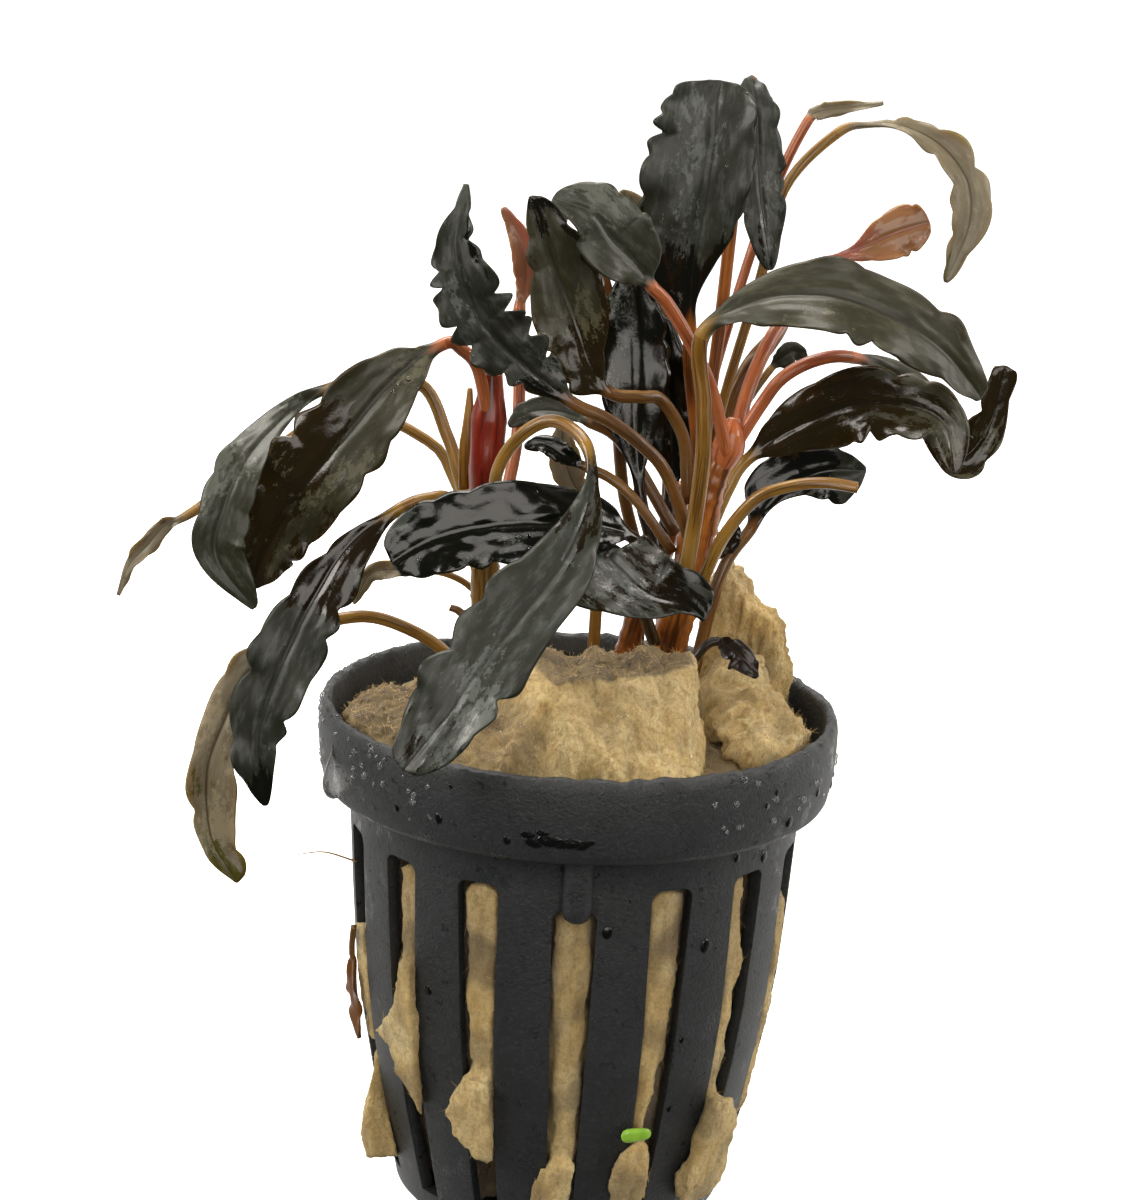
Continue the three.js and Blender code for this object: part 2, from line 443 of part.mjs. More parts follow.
// Every leaf: points of its stalk and blade, half widths, upper face directions from base to tip, where
// along the blade it is widest (peak), and how bluntly it ends (full: lower is blunter)
const leaves = {
  left_broad: {
    stalk: [[-10.4, 0.4, 79.5], [-11.1, 0.8, 81.6], [-12.6, 0.6, 83.3], [-14.3, 0, 83.9]],
    blade: [[-18.5, -2, 80.8], [-23.1, -3, 75.1], [-27.2, -2.5, 69.8], [-30.3, -1, 63.9], [-31.9, 0, 59.4]],
    half: [4.4, 4.6], face: [[0.1, -1, 0.5], [0, -1, 0.1]], look: 'olive',
  },
  left_grey: {
    stalk: [[-11.6, 4.6, 66.4], [-12.9, 6, 70.6], [-14.1, 6.6, 73.9], [-17, 6.6, 78.9], [-23.9, 3.5, 79]],
    blade: [[-28.8, 3.6, 76.1], [-32.2, -3.6, 72.5], [-34, -5.5, 68], [-34.5, -6, 63.8],
      [-30.8, -6.5, 59.1]],
    half: [2.8, 2.2], face: [[0, -1, 0.5], [0, -1, 0]], look: 'grey', peak: [0.72, 0.5], full: [0.6, 0.75],
  },
  left_thin: {
    stalk: [[-10.2, 5.4, 63.4], [-13.2, 9, 68.7], [-16.3, 10.4, 72.6], [-25.6, 12, 74.5],
      [-38.8, 11, 64.5]],
    blade: [[-42.1, 11, 62.6], [-44, 11, 60.3], [-45.9, 11, 57.9], [-46.9, 11, 55.1]],
    half: [0.8, 0.7], face: [[0, -1, 0.3], [-0.6, -1, 0]], small: true, look: 'pale', radius: 0.55,
  },
  left_hang: {
    stalk: [[-11.4, 0.9, 66.8], [-13.2, -0.8, 69.2], [-15, -2, 69.5], [-17.5, -3, 68.7]],
    blade: [[-22, -5, 65.6], [-25.1, -6.6, 60.6], [-27.5, -7.6, 55.3], [-29.3, -8.2, 50.2],
      [-30, -8.5, 45.9], [-29.2, -8.5, 40.4]],
    half: [3.4, 3.3], face: [[-0.2, -1, 0.3], [0, -1, 0]], look: 'dark', peak: [0.42, 0.6],
  },
  left_low: {
    stalk: [[-10.6, 8.8, 48.2], [-14, 6.4, 52.5], [-17.4, 4.4, 55], [-20.7, 2.6, 56.4], [-23.9, 1, 56.4]],
    blade: [[-28.3, -0.5, 55.5], [-31.7, -1.6, 51.6], [-34, -2, 46.9], [-35.7, -2.4, 41.4],
      [-35.2, -2.4, 34.8], [-32.5, -2.4, 30.2]],
    half: [3, 2], face: [[0, -1, 0.6], [0, -1, 0]], look: 'pale', peak: [0.72, 0.45], full: [0.5, 0.75],
  },
  front_droop: {
    stalk: [[-8.8, 0.8, 67.2], [-8.8, -2.6, 72.3], [-6.8, -4.4, 76.2], [-3.7, -6, 78.2],
      [-0.6, -9.4, 76.9]],
    blade: [[0.1, -12.6, 72.9], [-1.8, -16.4, 67.8], [-5.4, -20, 63.3], [-8.8, -23, 59.2],
      [-11.5, -24.6, 55.1], [-15, -25.6, 50.2]],
    half: [4, 4.2], face: [[0, -1, 0.4], [0, -0.7, 0.7]], look: 'dark',
    peak: 0.64, full: 0.45,
  },
  front_dark: {
    stalk: [[7.8, 0.8, 60.4], [6.6, -1.6, 63.8], [4.4, -4, 67]],
    blade: [[1.2, -6.4, 68.6], [-4, -8.4, 69.1], [-10, -9.4, 68.6], [-14.4, -10, 67.3],
      [-17.8, -10.6, 65.2]],
    half: [3.5, 3.7], face: [[0, -1, 0.6], [0, -1, 0.3]], look: 'dark', full: 0.32, fold: 8,
  },
  front_short: {
    stalk: [[6.8, 2.2, 55.8], [4.7, -1.4, 61.8], [2.8, -4.8, 65.8]],
    blade: [[2, -7, 66], [3.7, -9.1, 64.8], [6, -10.9, 63.5], [9, -12.2, 63], [11, -13, 61.9]],
    half: [3.2, 5.6], face: [[0, -0.8, 0.8], [-0.1, -1, 0.6], [0.4, -1, 0.2]], look: 'dark',
    full: [0.6, 2], peak: [0.5, 0.3],
  },
  upper_ruffled: {
    stalk: [[9.8, -0.8, 66.2], [7.2, -2.8, 72.9], [4.5, -3.6, 76], [1.1, -4.4, 78.4], [-1.8, -5, 79.7]],
    blade: [[-5.8, -6, 82.6], [-9.5, -7, 86], [-11.9, -8, 90], [-13.1, -8, 94.1], [-12.4, -7, 99.5]],
    half: [3.2, 3.5], face: [[0, -1, 0.3], [0, -1, 0]], look: 'dark', peak: [0.5, 0.4], full: [1.2, 0.9],
  },
  upper_red: {
    stalk: [[-8.6, 4.6, 66.2], [-7.4, 7.4, 73], [-7.4, 9.4, 80], [-7.7, 10, 86]],
    blade: [[-7.2, 10, 88.9], [-7.8, 10, 92.7], [-9.7, 10, 95.8]],
    half: [1, 0.9], face: [[0, -1, 0]], small: true, look: 'pink',
  },
  upper_upright: {
    stalk: [[9.4, 4.2, 69.6], [8.8, 4.4, 75], [6.4, 3, 79], [4.3, 1.6, 79.5], [1.5, 0.6, 79.9]],
    blade: [[-0.4, 0, 82.5], [-2, 0, 86.3], [-3.5, 0, 89.8], [-5.1, -0.5, 93.6], [-6.7, -1, 98.1]],
    half: [3.8, 3.8], face: [[0, -1, 0]], look: 'olive', peak: [0.33, 0.62], full: [0.8, 0.55],
  },
  upper_grey: {
    stalk: [[12.6, -1, 76.2], [10.9, -2.8, 81.1], [8.7, -4, 85.5], [6.3, -5, 89.3], [4.7, -6, 91]],
    blade: [[3.2, -6.8, 93], [0.9, -7.4, 95.2], [-1, -8, 97.5], [-4.6, -8.6, 98.7]],
    half: [3, 3.5], face: [[0, -1, 0.4]], look: 'grey', peak: 0.5, full: [0.85, 0.6],
  },
  upper_pale: {
    stalk: [[7.8, 12, 65], [7.6, 12.4, 76], [6.8, 12, 84], [5.8, 12, 89.3]],
    blade: [[4.6, 12, 92.6], [3, 12, 95.6], [1.6, 12, 97.8]],
    half: [1.8, 1.8], face: [[0, -1, 0]], small: true, look: 'pale',
  },
  top_broad: {
    stalk: [[10.8, 5, 70.6], [9.9, 5.9, 76], [8.9, 4.2, 82.1], [8.7, 2.6, 86]],
    blade: [[8.6, 1.4, 90.9], [9.1, 0.6, 96.6], [9.6, 0.6, 102.1], [9.8, 1.2, 106.6], [10.1, 2, 109.2]],
    half: [6, 4], face: [[-0.1, -1, 0]], look: 'dark', full: [0.5, 0.35], peak: [0.5, 0.66],
  },
  top_side: {
    stalk: [[10.8, 8.8, 70.6], [11.2, 8.6, 78], [11.9, 8.6, 88], [12.6, 8.2, 102.5], [13.2, 7, 108.7]],
    blade: [[13.6, 4.8, 107.6], [14, 4, 102.9], [14.8, 3.5, 97.4], [15.9, 3, 91.9]],
    half: [2.2, 2.5], face: [[0.3, -1, 0.3], [0.3, -1, 0]], look: 'dark', full: 0.6, wave: 0.2,
  },
  top_small: {
    stalk: [[9.8, 12, 69.4], [11.6, 12.4, 80], [15, 12.8, 94], [17.2, 13.4, 100.6], [19.3, 13.6, 105.2]],
    blade: [[20.3, 13.6, 106.1], [22.9, 13.6, 106.6], [26.4, 13.6, 107.2]],
    half: [0.5, 0.7], face: [[0, -1, 0.4]], small: true, look: 'pale', peak: 0.3, radius: 0.5,
  },
  arching: {
    stalk: [[11.4, 10.4, 70.4], [12.8, 9.8, 79], [15.4, 9.8, 90], [17.2, 10, 98.9], [21.9, 10, 104.4]],
    blade: [[25.2, 10, 105.5], [28.6, 10, 105.2], [31.9, 9, 103.6], [34.3, 8, 100.6], [34.7, 7, 96.6],
      [32.8, 6, 91.2]],
    half: [1.9, 1.9], face: [[0.2, -0.3, 1], [0.3, -1, 0.3], [-0.2, -1, 0]], look: 'pale',
    peak: 0.7, radius: 0.5,
  },
  young_pink: {
    stalk: [[13.6, 3.8, 74.4], [14.6, 6.4, 79.3], [16.5, 9, 83.9], [18.7, 12, 87.2], [21.3, 14, 91.2]],
    blade: [[25.2, 15, 92.9], [28.6, 15, 94.6], [32, 15, 95.8]],
    half: [2.3, 2.3], face: [[0, -1, 0.3]], look: 'pink', peak: [0.8, 0.7], full: 0.5, radius: 0.7,
  },
  right_grey: {
    stalk: [[9.2, 0.2, 60.4], [9.8, -2.9, 67], [10.3, -5, 74.8], [10, -6.8, 80.4], [9.4, -9, 87.2]],
    blade: [[13.9, -10, 90.7], [20, -11, 91.6], [25.5, -11, 90.2], [30.8, -10, 87.1], [35, -8, 82.6]],
    half: [3.3, 3.9], face: [[0, -1, 0.8], [0, -1, 0.6]], look: 'grey', peak: [0.55, 0.48],
    full: [0.5, 0.65], radius: 0.75,
  },
  right_folded: {
    stalk: [[12.2, 4.2, 67.4], [13.4, 5, 70.4], [14.9, 5.6, 73]],
    blade: [[18.9, 5, 76.4], [24.3, 3.4, 79.4], [28.9, 2, 80], [33, 1, 78.5], [34.4, 0, 73.9]],
    half: [3.2, 3.6], face: [[0, -1, 0.3], [0.2, -1, 0.2]], look: 'olive', peak: 0.45, full: 0.6,
  },
  right_curl: {
    stalk: [[14.9, 1.6, 77], [15.8, 1.4, 79.4], [17.6, 1, 82.1], [20.6, 1.6, 83.8], [24, 3.4, 84]],
    blade: [[28.6, 6.4, 82.2], [32.8, 6.6, 78.6], [35.7, 6.6, 74.3], [38.2, 6.6, 77.7], [39.3, 6.6, 83.4]],
    half: [2, 2], face: [[0, -1, 0.6], [0, -1, 0]], look: 'olive', full: 0.25,
  },
  right_black: {
    stalk: [[10.8, 8.2, 48.2], [13.2, 8.4, 60.4], [16, 10.4, 65]],
    blade: [[19.1, 12, 68.8], [22.3, 12, 70.8], [24.9, 12, 71.4], [27.3, 12, 71.5]],
    half: [3.4, 3.2], face: [[0, -1, 0.4], [0, -1, 0]], look: 'dark', full: 0.8, peak: [0.3, 0.7],
  },
  right_small: {
    stalk: [[8.6, 10.8, 55.6], [11, 9.8, 59.6], [12.2, 8.6, 61.9]],
    blade: [[13.2, 7, 64], [14, 7, 65.2], [14.8, 7, 66.2]],
    half: [1.1, 1.1], face: [[0, -1, 0]], small: true, look: 'dark', wave: 0.1, radius: 0.4,
  },
  small_grey: {
    stalk: [[9.8, 12, 66], [12.6, 14, 72.4], [15.4, 14.4, 77.6], [17.3, 14.6, 80.6]],
    blade: [[18.4, 14.6, 81.8], [19.6, 14.6, 82.6], [20.9, 14.6, 81.6]],
    half: [1, 1.2], face: [[0, -1, 0]], small: true, look: 'grey', wave: 0.1, radius: 0.4,
  },
  back_narrow: {
    stalk: [[-8, 13.4, 48.2], [-9.2, 14, 54], [-11.4, 14, 56.8], [-13.7, 14, 58.1], [-16.3, 14, 58.5]],
    blade: [[-19.3, 14, 58.4], [-21.8, 14, 57.8], [-23.4, 14, 54.6]],
    half: [0.9, 0.8], face: [[0, -1, 0.6], [0, -1, 0]], small: true, look: 'pale', wave: 0.1, radius: 0.35,
  },
  centre_black: {
    stalk: [[7.2, 3.8, 62], [5.9, 4, 66], [4.9, 4.6, 69.4]],
    blade: [[4.2, 5.2, 75.5], [4, 5.8, 81.5], [3.6, 6, 86], [2.9, 6, 91.2]],
    half: [3.6, 3], face: [[0, -1, 0]], small: true, look: 'dark', full: 0.6, peak: 0.56, fold: 8,
  },
  centre_side: {
    stalk: [[6.2, 7.4, 59], [7.2, 8, 64], [7.9, 8.4, 68.6]],
    blade: [[7.7, 8.6, 74.3], [7, 8.4, 80.2], [6.2, 8.4, 86.2]],
    half: [2.4, 2.3], face: [[0, -1, 0]], small: true, look: 'dark', full: 0.6,
  },
  centre_brown: {
    stalk: [[5.2, 11, 62], [3.4, 11, 68], [2.4, 11, 75], [1.6, 11, 80]],
    blade: [[0.5, 11, 84.4], [-0.3, 11, 88.7], [-1.5, 11, 91.8]],
    half: [1.2, 1.3], face: [[0, -1, 0]], small: true, look: 'brown',
  },
  centre_small: {
    stalk: [[7.8, 1.4, 65.2], [4.6, 1.2, 69.4], [1.9, 1.2, 71.6], [-0.6, 0.8, 72.7]],
    blade: [[-2.5, 0, 73.9], [-4.4, 0, 74.8], [-6.4, 0, 74.5]],
    half: [0.9, 0.9], face: [[0, -1, 0.4]], small: true, look: 'dark', wave: 0.1, radius: 0.5,
  },
  centre_pale: {
    stalk: [[1, 8.6, 48.2], [1.2, 8.6, 57], [0.8, 8.8, 63], [0.1, 9, 66.7]],
    blade: [[-1.8, 9, 69.6], [-2.8, 9, 72.6], [-3, 9, 75.4]],
    half: [1.4, 1.4], face: [[0, -1, 0]], small: true, look: 'pale', wave: 0.1,
  },
  centre_edge: {
    stalk: [[8.2, 5.8, 66], [5, 6.8, 71], [2.4, 6.4, 74.6], [-0.3, 5.2, 76.2]],
    blade: [[-3.2, 5, 77.1], [-6.1, 5, 76.9], [-8.1, 4.4, 75.6]],
    half: [1.1, 1.1], face: [[0, -0.8, 0.6]], small: true, look: 'grey', wave: 0.1,
  },
};
Object.entries(leaves).forEach(([name, spec]) => add(`leaf_${name}`, leafGeometry(spec), spec.look));

// Red leaf sheaths at the tops of two stems, a dry scale, and three stalks without blades
const stubs = {
  sheath_left: {
    points: [[-10, 2.6, 68.2], [-10.1, 2.4, 71.6], [-9.9, 2.4, 76.5], [-9.8, 2.4, 81]],
    radii: [1.35, 1.7, 1.7, 1], look: 'red',
  },
  sheath_right: {
    points: [[12.8, 1.2, 74.9], [13, 1.2, 76.4], [13.1, 1.4, 77.6]],
    radii: [1.2, 1.2, 0.8], look: 'red',
  },
  bract_left: {
    points: [[-12, 3.8, 69.4], [-11.9, 3.6, 74], [-11.9, 3.6, 79.2]],
    radii: [0.7, 0.8, 0.25], look: 'ochre',
  },
  stub_cut: {
    points: [[11.2, -0.6, 62.6], [12.8, -3, 67.4], [15.4, -4, 71.3], [18.5, -4.6, 72.9], [21.7, -4.8, 73.4],
      [24.8, -4.8, 73.1]],
    radii: [0.6, 0.55, 0.55], look: 'ochre',
  },
  stub_curled: {
    points: [[11.6, 11.8, 70.4], [13, 11.7, 76], [14.9, 11.8, 80.9], [16.8, 12.2, 83.5], [18, 13.4, 85],
      [18.4, 14.4, 85.9]],
    radii: [0.8, 0.9, 0.5], look: 'brown',
  },
  stub_hook: {
    points: [[-10, 11, 48.2], [-11.5, 10, 54.1], [-12.4, 10, 55.4], [-13.4, 10, 55.8]],
    radii: [0.5, 0.45, 0.35], look: 'brown',
  },
};
Object.entries(stubs).forEach(([name, { points, radii, look }]) => {
  add(name, stemGeometry(points, radii, 6), look);
});

// Torn wool that hangs outside the wall at the lower left, cut to a slanting plane
const TAIL_REACH = 20.2;
const tailOutline = [
  [-0.4, 15.2], [0.6, 15], [1.2, 12], [1.9, 8], [2.4, 4.6], [-0.4, 3.2], [-2, 3.8], [-2.1, 8], [-1.1, 13],
];
const tail = bar(-3, tailOutline).intersect(within(3)).trimByPlane([1, 0, -0.15], -TAIL_REACH)
  .subtract(potRoom).subtract(insideBlock)
  .subtract(plug.translate([-GAP, -GAP, 0])).subtract(plug.translate([0, 0, -GAP])).subtract(plug);
add('wool_tail', geometryOf(largest(tail)), 'wool');

// A withered scrap on the wool: a bent stalk and a torn blade
add('dead_scrap', leafGeometry({
  stalk: [[10.6, -4.4, 55.4], [11.6, -4.4, 57], [12.8, -4.4, 57.6]],
  blade: [[13.8, -4.8, 57.2], [15.4, -5.6, 56.2], [16.6, -6.4, 54.8]],
  half: [1, 1.5], face: [[0, -1, 0.6]], radius: 0.45, small: true, wave: 0.1,
}), 'brown');

// A brown leaf pressed out of the slot at the left
add('dead_leaf_slot', leafGeometry({
  stalk: [[-20.7, -6.9, 27.4], [-20.8, -6.6, 26.2], [-20.8, -6.4, 25]],
  blade: [[-20.7, -6.4, 22.4], [-20.4, -6.4, 19.2], [-19.9, -6.6, 16.2]],
  half: [1, 1], face: [[-0.9, -0.8, 0]], radius: 0.3, small: true, wave: 0.1,
}), 'brown');

// One leaf of a floating plant stuck to the wool of a front slot
const duckweed = new THREE.SphereGeometry(1, 8, 5);
duckweed.scale(1.5, 0.35, 0.7);
duckweed.rotateZ(0.33);
duckweed.translate(7.3, -19.2, 13.6);
add('duckweed', duckweed, 'green');

export default group;
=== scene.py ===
# %% [markdown]
# # A potted bucephalandra
# Bucephalandra is a slow water plant with dark, wavy leaves. It is sold in a black net pot packed
# with rock wool, and this one has just been lifted out of its water, so everything is wet.
# A solid model already gives every piece its place. Here each piece gets its fine shape and its
# finish, in the same frame: metres, +Z up, the front towards -Y, and the origin under the pot.

# %% Load the frame
import math

import bmesh
import bpy
import numpy as np
from mathutils import Matrix, Vector


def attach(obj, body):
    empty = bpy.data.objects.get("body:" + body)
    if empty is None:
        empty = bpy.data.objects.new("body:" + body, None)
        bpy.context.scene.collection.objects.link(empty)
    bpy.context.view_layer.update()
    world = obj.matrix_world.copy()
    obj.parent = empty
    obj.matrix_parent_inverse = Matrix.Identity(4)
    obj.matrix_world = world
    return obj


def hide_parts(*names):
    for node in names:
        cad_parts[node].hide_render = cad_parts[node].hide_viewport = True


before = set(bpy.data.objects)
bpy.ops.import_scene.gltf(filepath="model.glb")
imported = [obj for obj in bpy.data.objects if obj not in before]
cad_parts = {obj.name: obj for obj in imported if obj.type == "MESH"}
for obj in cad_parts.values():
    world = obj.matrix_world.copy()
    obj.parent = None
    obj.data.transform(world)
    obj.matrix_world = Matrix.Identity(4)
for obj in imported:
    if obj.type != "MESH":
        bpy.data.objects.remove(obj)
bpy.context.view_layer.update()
MM = 0.001
print("solids:", len(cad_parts))

# %% [markdown]
# ## Camera
# The photo was taken from close by, a little above the rim, with the camera rolled by a few
# degrees. A camera is easiest to place when its three axes are written down: where its
# right side, its top and its view point to.

# %% Place the camera
def add_object(name, data):
    """A new object in the scene, for a mesh, a camera or a light."""
    made = bpy.data.objects.new(name, data)
    bpy.context.scene.collection.objects.link(made)
    return made


CAMERA_AT = Vector((0, -0.23947, 0.12178))
CAMERA_RIGHT = Vector((0.99875, 0.0182, 0.04663))
CAMERA_TOP = Vector((-0.0497, 0.25014, 0.96693))
LENS_MM, SENSOR_MM = 77.35, 36
NEAREST = 0.01
camera_data = bpy.data.cameras.new("photo_camera")
camera_data.lens = LENS_MM
camera_data.sensor_width = SENSOR_MM
camera_data.clip_start = NEAREST
camera = add_object("photo_camera", camera_data)
view_axis = CAMERA_TOP.cross(CAMERA_RIGHT)
axes = Matrix((CAMERA_RIGHT, CAMERA_TOP, -view_axis)).transposed()
camera.matrix_world = Matrix.Translation(CAMERA_AT) @ axes.to_4x4()
bpy.context.scene.camera = camera
print("camera looks along", [round(c, 3) for c in view_axis])

# %% [markdown]
# ## Helpers for materials
# Colours are written as the sRGB hex values that a colour picker gives, and one function turns
# them into the linear values that the shaders use. One small function adds a shader node with its
# settings and its links and hands back its output, so each material below reads as a list of
# layers. Patterns are placed in millimetres: a noise scale of 2 means two cells in a millimetre.

# %% Colours and nodes
def linear(hex_colour):
    """An sRGB hex colour as linear RGBA."""
    parts = [int(hex_colour[i:i + 2], 16) / 255 for i in (1, 3, 5)]
    return (*[c / 12.92 if c <= 0.04045 else ((c + 0.055) / 1.055) ** 2.4 for c in parts], 1.0)


def layer(material, kind, inputs, out=0, **settings):
    """Adds a node, or takes one by its name, sets its inputs to values or joins them to outputs
    of earlier nodes, and hands back one of its outputs."""
    tree = material.node_tree
    made = tree.nodes[kind] if kind in tree.nodes else tree.nodes.new(kind)
    for key, value in settings.items():
        setattr(made, key, value)
    for key, value in inputs.items():
        if isinstance(value, bpy.types.NodeSocket):
            tree.links.new(value, made.inputs[key])
        else:
            made.inputs[key].default_value = value
    return made.outputs[out]


def new_material(name):
    """A material with a Principled shader, and a place in millimetres for its patterns."""
    material = bpy.data.materials.new(name)
    material.use_nodes = True
    place = layer(material, "ShaderNodeTexCoord", {}, "Object")
    mm = layer(material, "ShaderNodeVectorMath", {0: place, 1: (1 / MM,) * 3}, operation="MULTIPLY")
    return material, mm


# Settings that many layers share. A mix of colours hands its result back at its third output.
SHADER = "Principled BSDF"
SOFT = dict(interpolation_type="SMOOTHSTEP")
COLOURS = dict(data_type="RGBA")
COLOUR_OUT = 2
print("the hex grey #808080 is", round(linear("#808080")[0], 3), "in linear light")

# %% [markdown]
# ## Helpers for meshes
# All the plant's pieces are rows of rings: a leaf stalk is a row of round rings, and where it
# becomes a blade the rings flatten. The rings follow a smooth curve through a few points, the same
# points that the solid model uses, so each fine piece lands on its solid. Sizes are in millimetres
# here and turned to metres when the mesh is made.

# %% Curves
def smooth_curve(points, t):
    """Places and directions along a Catmull-Rom curve, for fractions t from 0 to 1."""
    given = np.array(points, float)
    spans = len(given) - 1
    ends = np.vstack([2 * given[0] - given[1], given, 2 * given[-1] - given[-2]])
    x = np.clip(t, 0, 1) * spans
    i = np.minimum(x.astype(int), spans - 1)
    f = (x - i)[:, None]
    a, b, c, d = ends[i], ends[i + 1], ends[i + 2], ends[i + 3]
    m, n = (c - a) / 2, (d - b) / 2
    place = (2 * f**3 - 3 * f**2 + 1) * b + (f**3 - 2 * f**2 + f) * m
    place += (3 * f**2 - 2 * f**3) * c + (f**3 - f**2) * n
    way = (6 * f**2 - 6 * f) * (b - c) + (3 * f**2 - 4 * f + 1) * m + (3 * f**2 - 2 * f) * n
    return place, way / np.linalg.norm(way, axis=1)[:, None]


def read_at(values, t):
    """Numbers or vectors in a list, read at fractions t from 0 to 1."""
    given = np.array(values, float).reshape(len(values), -1)
    if len(given) == 1:
        return np.repeat(given, len(t), axis=0)
    x = np.clip(t, 0, 1) * (len(given) - 1)
    i = np.minimum(x.astype(int), len(given) - 2)
    f = (x - i)[:, None]
    return given[i] * (1 - f) + given[i + 1] * f


def ease(t):
    """0 to 1 with soft ends."""
    t = np.clip(t, 0, 1)
    return t * t * (3 - 2 * t)


bend = smooth_curve([[0, 0, 0], [10, 0, 0], [10, 10, 0]], np.array([0.25]))
print("a quarter of the way round a bend, in mm:", bend[0][0].round(2).tolist())

# %% [markdown]
# ## Waves and rings
# Nothing that grew or was torn is even, so smooth uneven waves push the surfaces about. They are
# sums of a few sine waves whose directions and sizes are picked once from a numbered seed, so every
# run gives the same plant. Rings of points are then joined into a closed skin.

# %% Waves and rings
def waves(places, size, seed, count=7):
    """Smooth uneven waves, about -1 to 1, with crests roughly size apart. places is N x 2 or N x 3."""
    rng = np.random.default_rng(seed)
    turns = rng.normal(size=(count, places.shape[1]))
    turns *= (2 * math.pi / size) * rng.uniform(0.6, 1.5, (count, 1)) / np.linalg.norm(turns, axis=1)[:, None]
    phases = rng.uniform(0, 2 * math.pi, count)
    return np.sin(places @ turns.T + phases).sum(axis=1) / math.sqrt(count)


def frames_along(points, faces, t, blade_t):
    """Place, across and face directions of each ring of a leaf or stem, and how far along it is."""
    place, along = smooth_curve(points, t)
    face = read_at(faces, blade_t)
    face -= (face * along).sum(axis=1)[:, None] * along
    face /= np.linalg.norm(face, axis=1)[:, None]
    length = np.concatenate([[0], np.cumsum(np.linalg.norm(np.diff(place, axis=0), axis=1))])
    return place, np.cross(along, face), face, length


def ring_faces(rows, around):
    """Quads between rings of points, with both ends closed."""
    quads = []
    for row in range(rows - 1):
        for k in range(around):
            a, b = row * around + k, row * around + (k + 1) % around
            quads.append((a, b, b + around, a + around))
    quads.append(tuple(range(around))[::-1])
    quads.append(tuple(range((rows - 1) * around, rows * around)))
    return quads


print("a skin on 3 rings of 8 points:", len(ring_faces(3, 8)), "faces")

# %% [markdown]
# ## Pieces
# A piece is a mesh that rides with the plant. Most stand for one solid of the model, which is then
# hidden. Numbers that a material reads, such as the length along a stalk, are kept on its points.

# %% Make a piece
def face_outwards(mesh):
    """Turns the front of every face of a closed mesh to the outside."""
    draft = bmesh.new()
    draft.from_mesh(mesh)
    bmesh.ops.recalc_face_normals(draft, faces=draft.faces)
    draft.to_mesh(mesh)
    draft.free()


def make_piece(name, verts_mm, faces, materials, which=None, values=None, stands_for=None):
    """A smooth-shaded mesh that rides with the plant and, where it is named, stands for a solid.
    which gives each face its material, and values are the numbers kept on the points."""
    mesh = bpy.data.meshes.new(name)
    mesh.from_pydata((np.asarray(verts_mm) * MM).tolist(), [], faces)
    for label, numbers in (values or {}).items():
        kept = mesh.attributes.new(label, "FLOAT", "POINT")
        kept.data.foreach_set("value", np.asarray(numbers, np.float32))
    for material in materials:
        mesh.materials.append(material)
    if which is not None:
        mesh.polygons.foreach_set("material_index", np.asarray(which, np.int32))
    mesh.polygons.foreach_set("use_smooth", np.ones(len(mesh.polygons), bool))
    face_outwards(mesh)
    piece = add_object(name, mesh)
    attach(piece, "root")
    if stands_for:
        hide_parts(stands_for)
    return piece
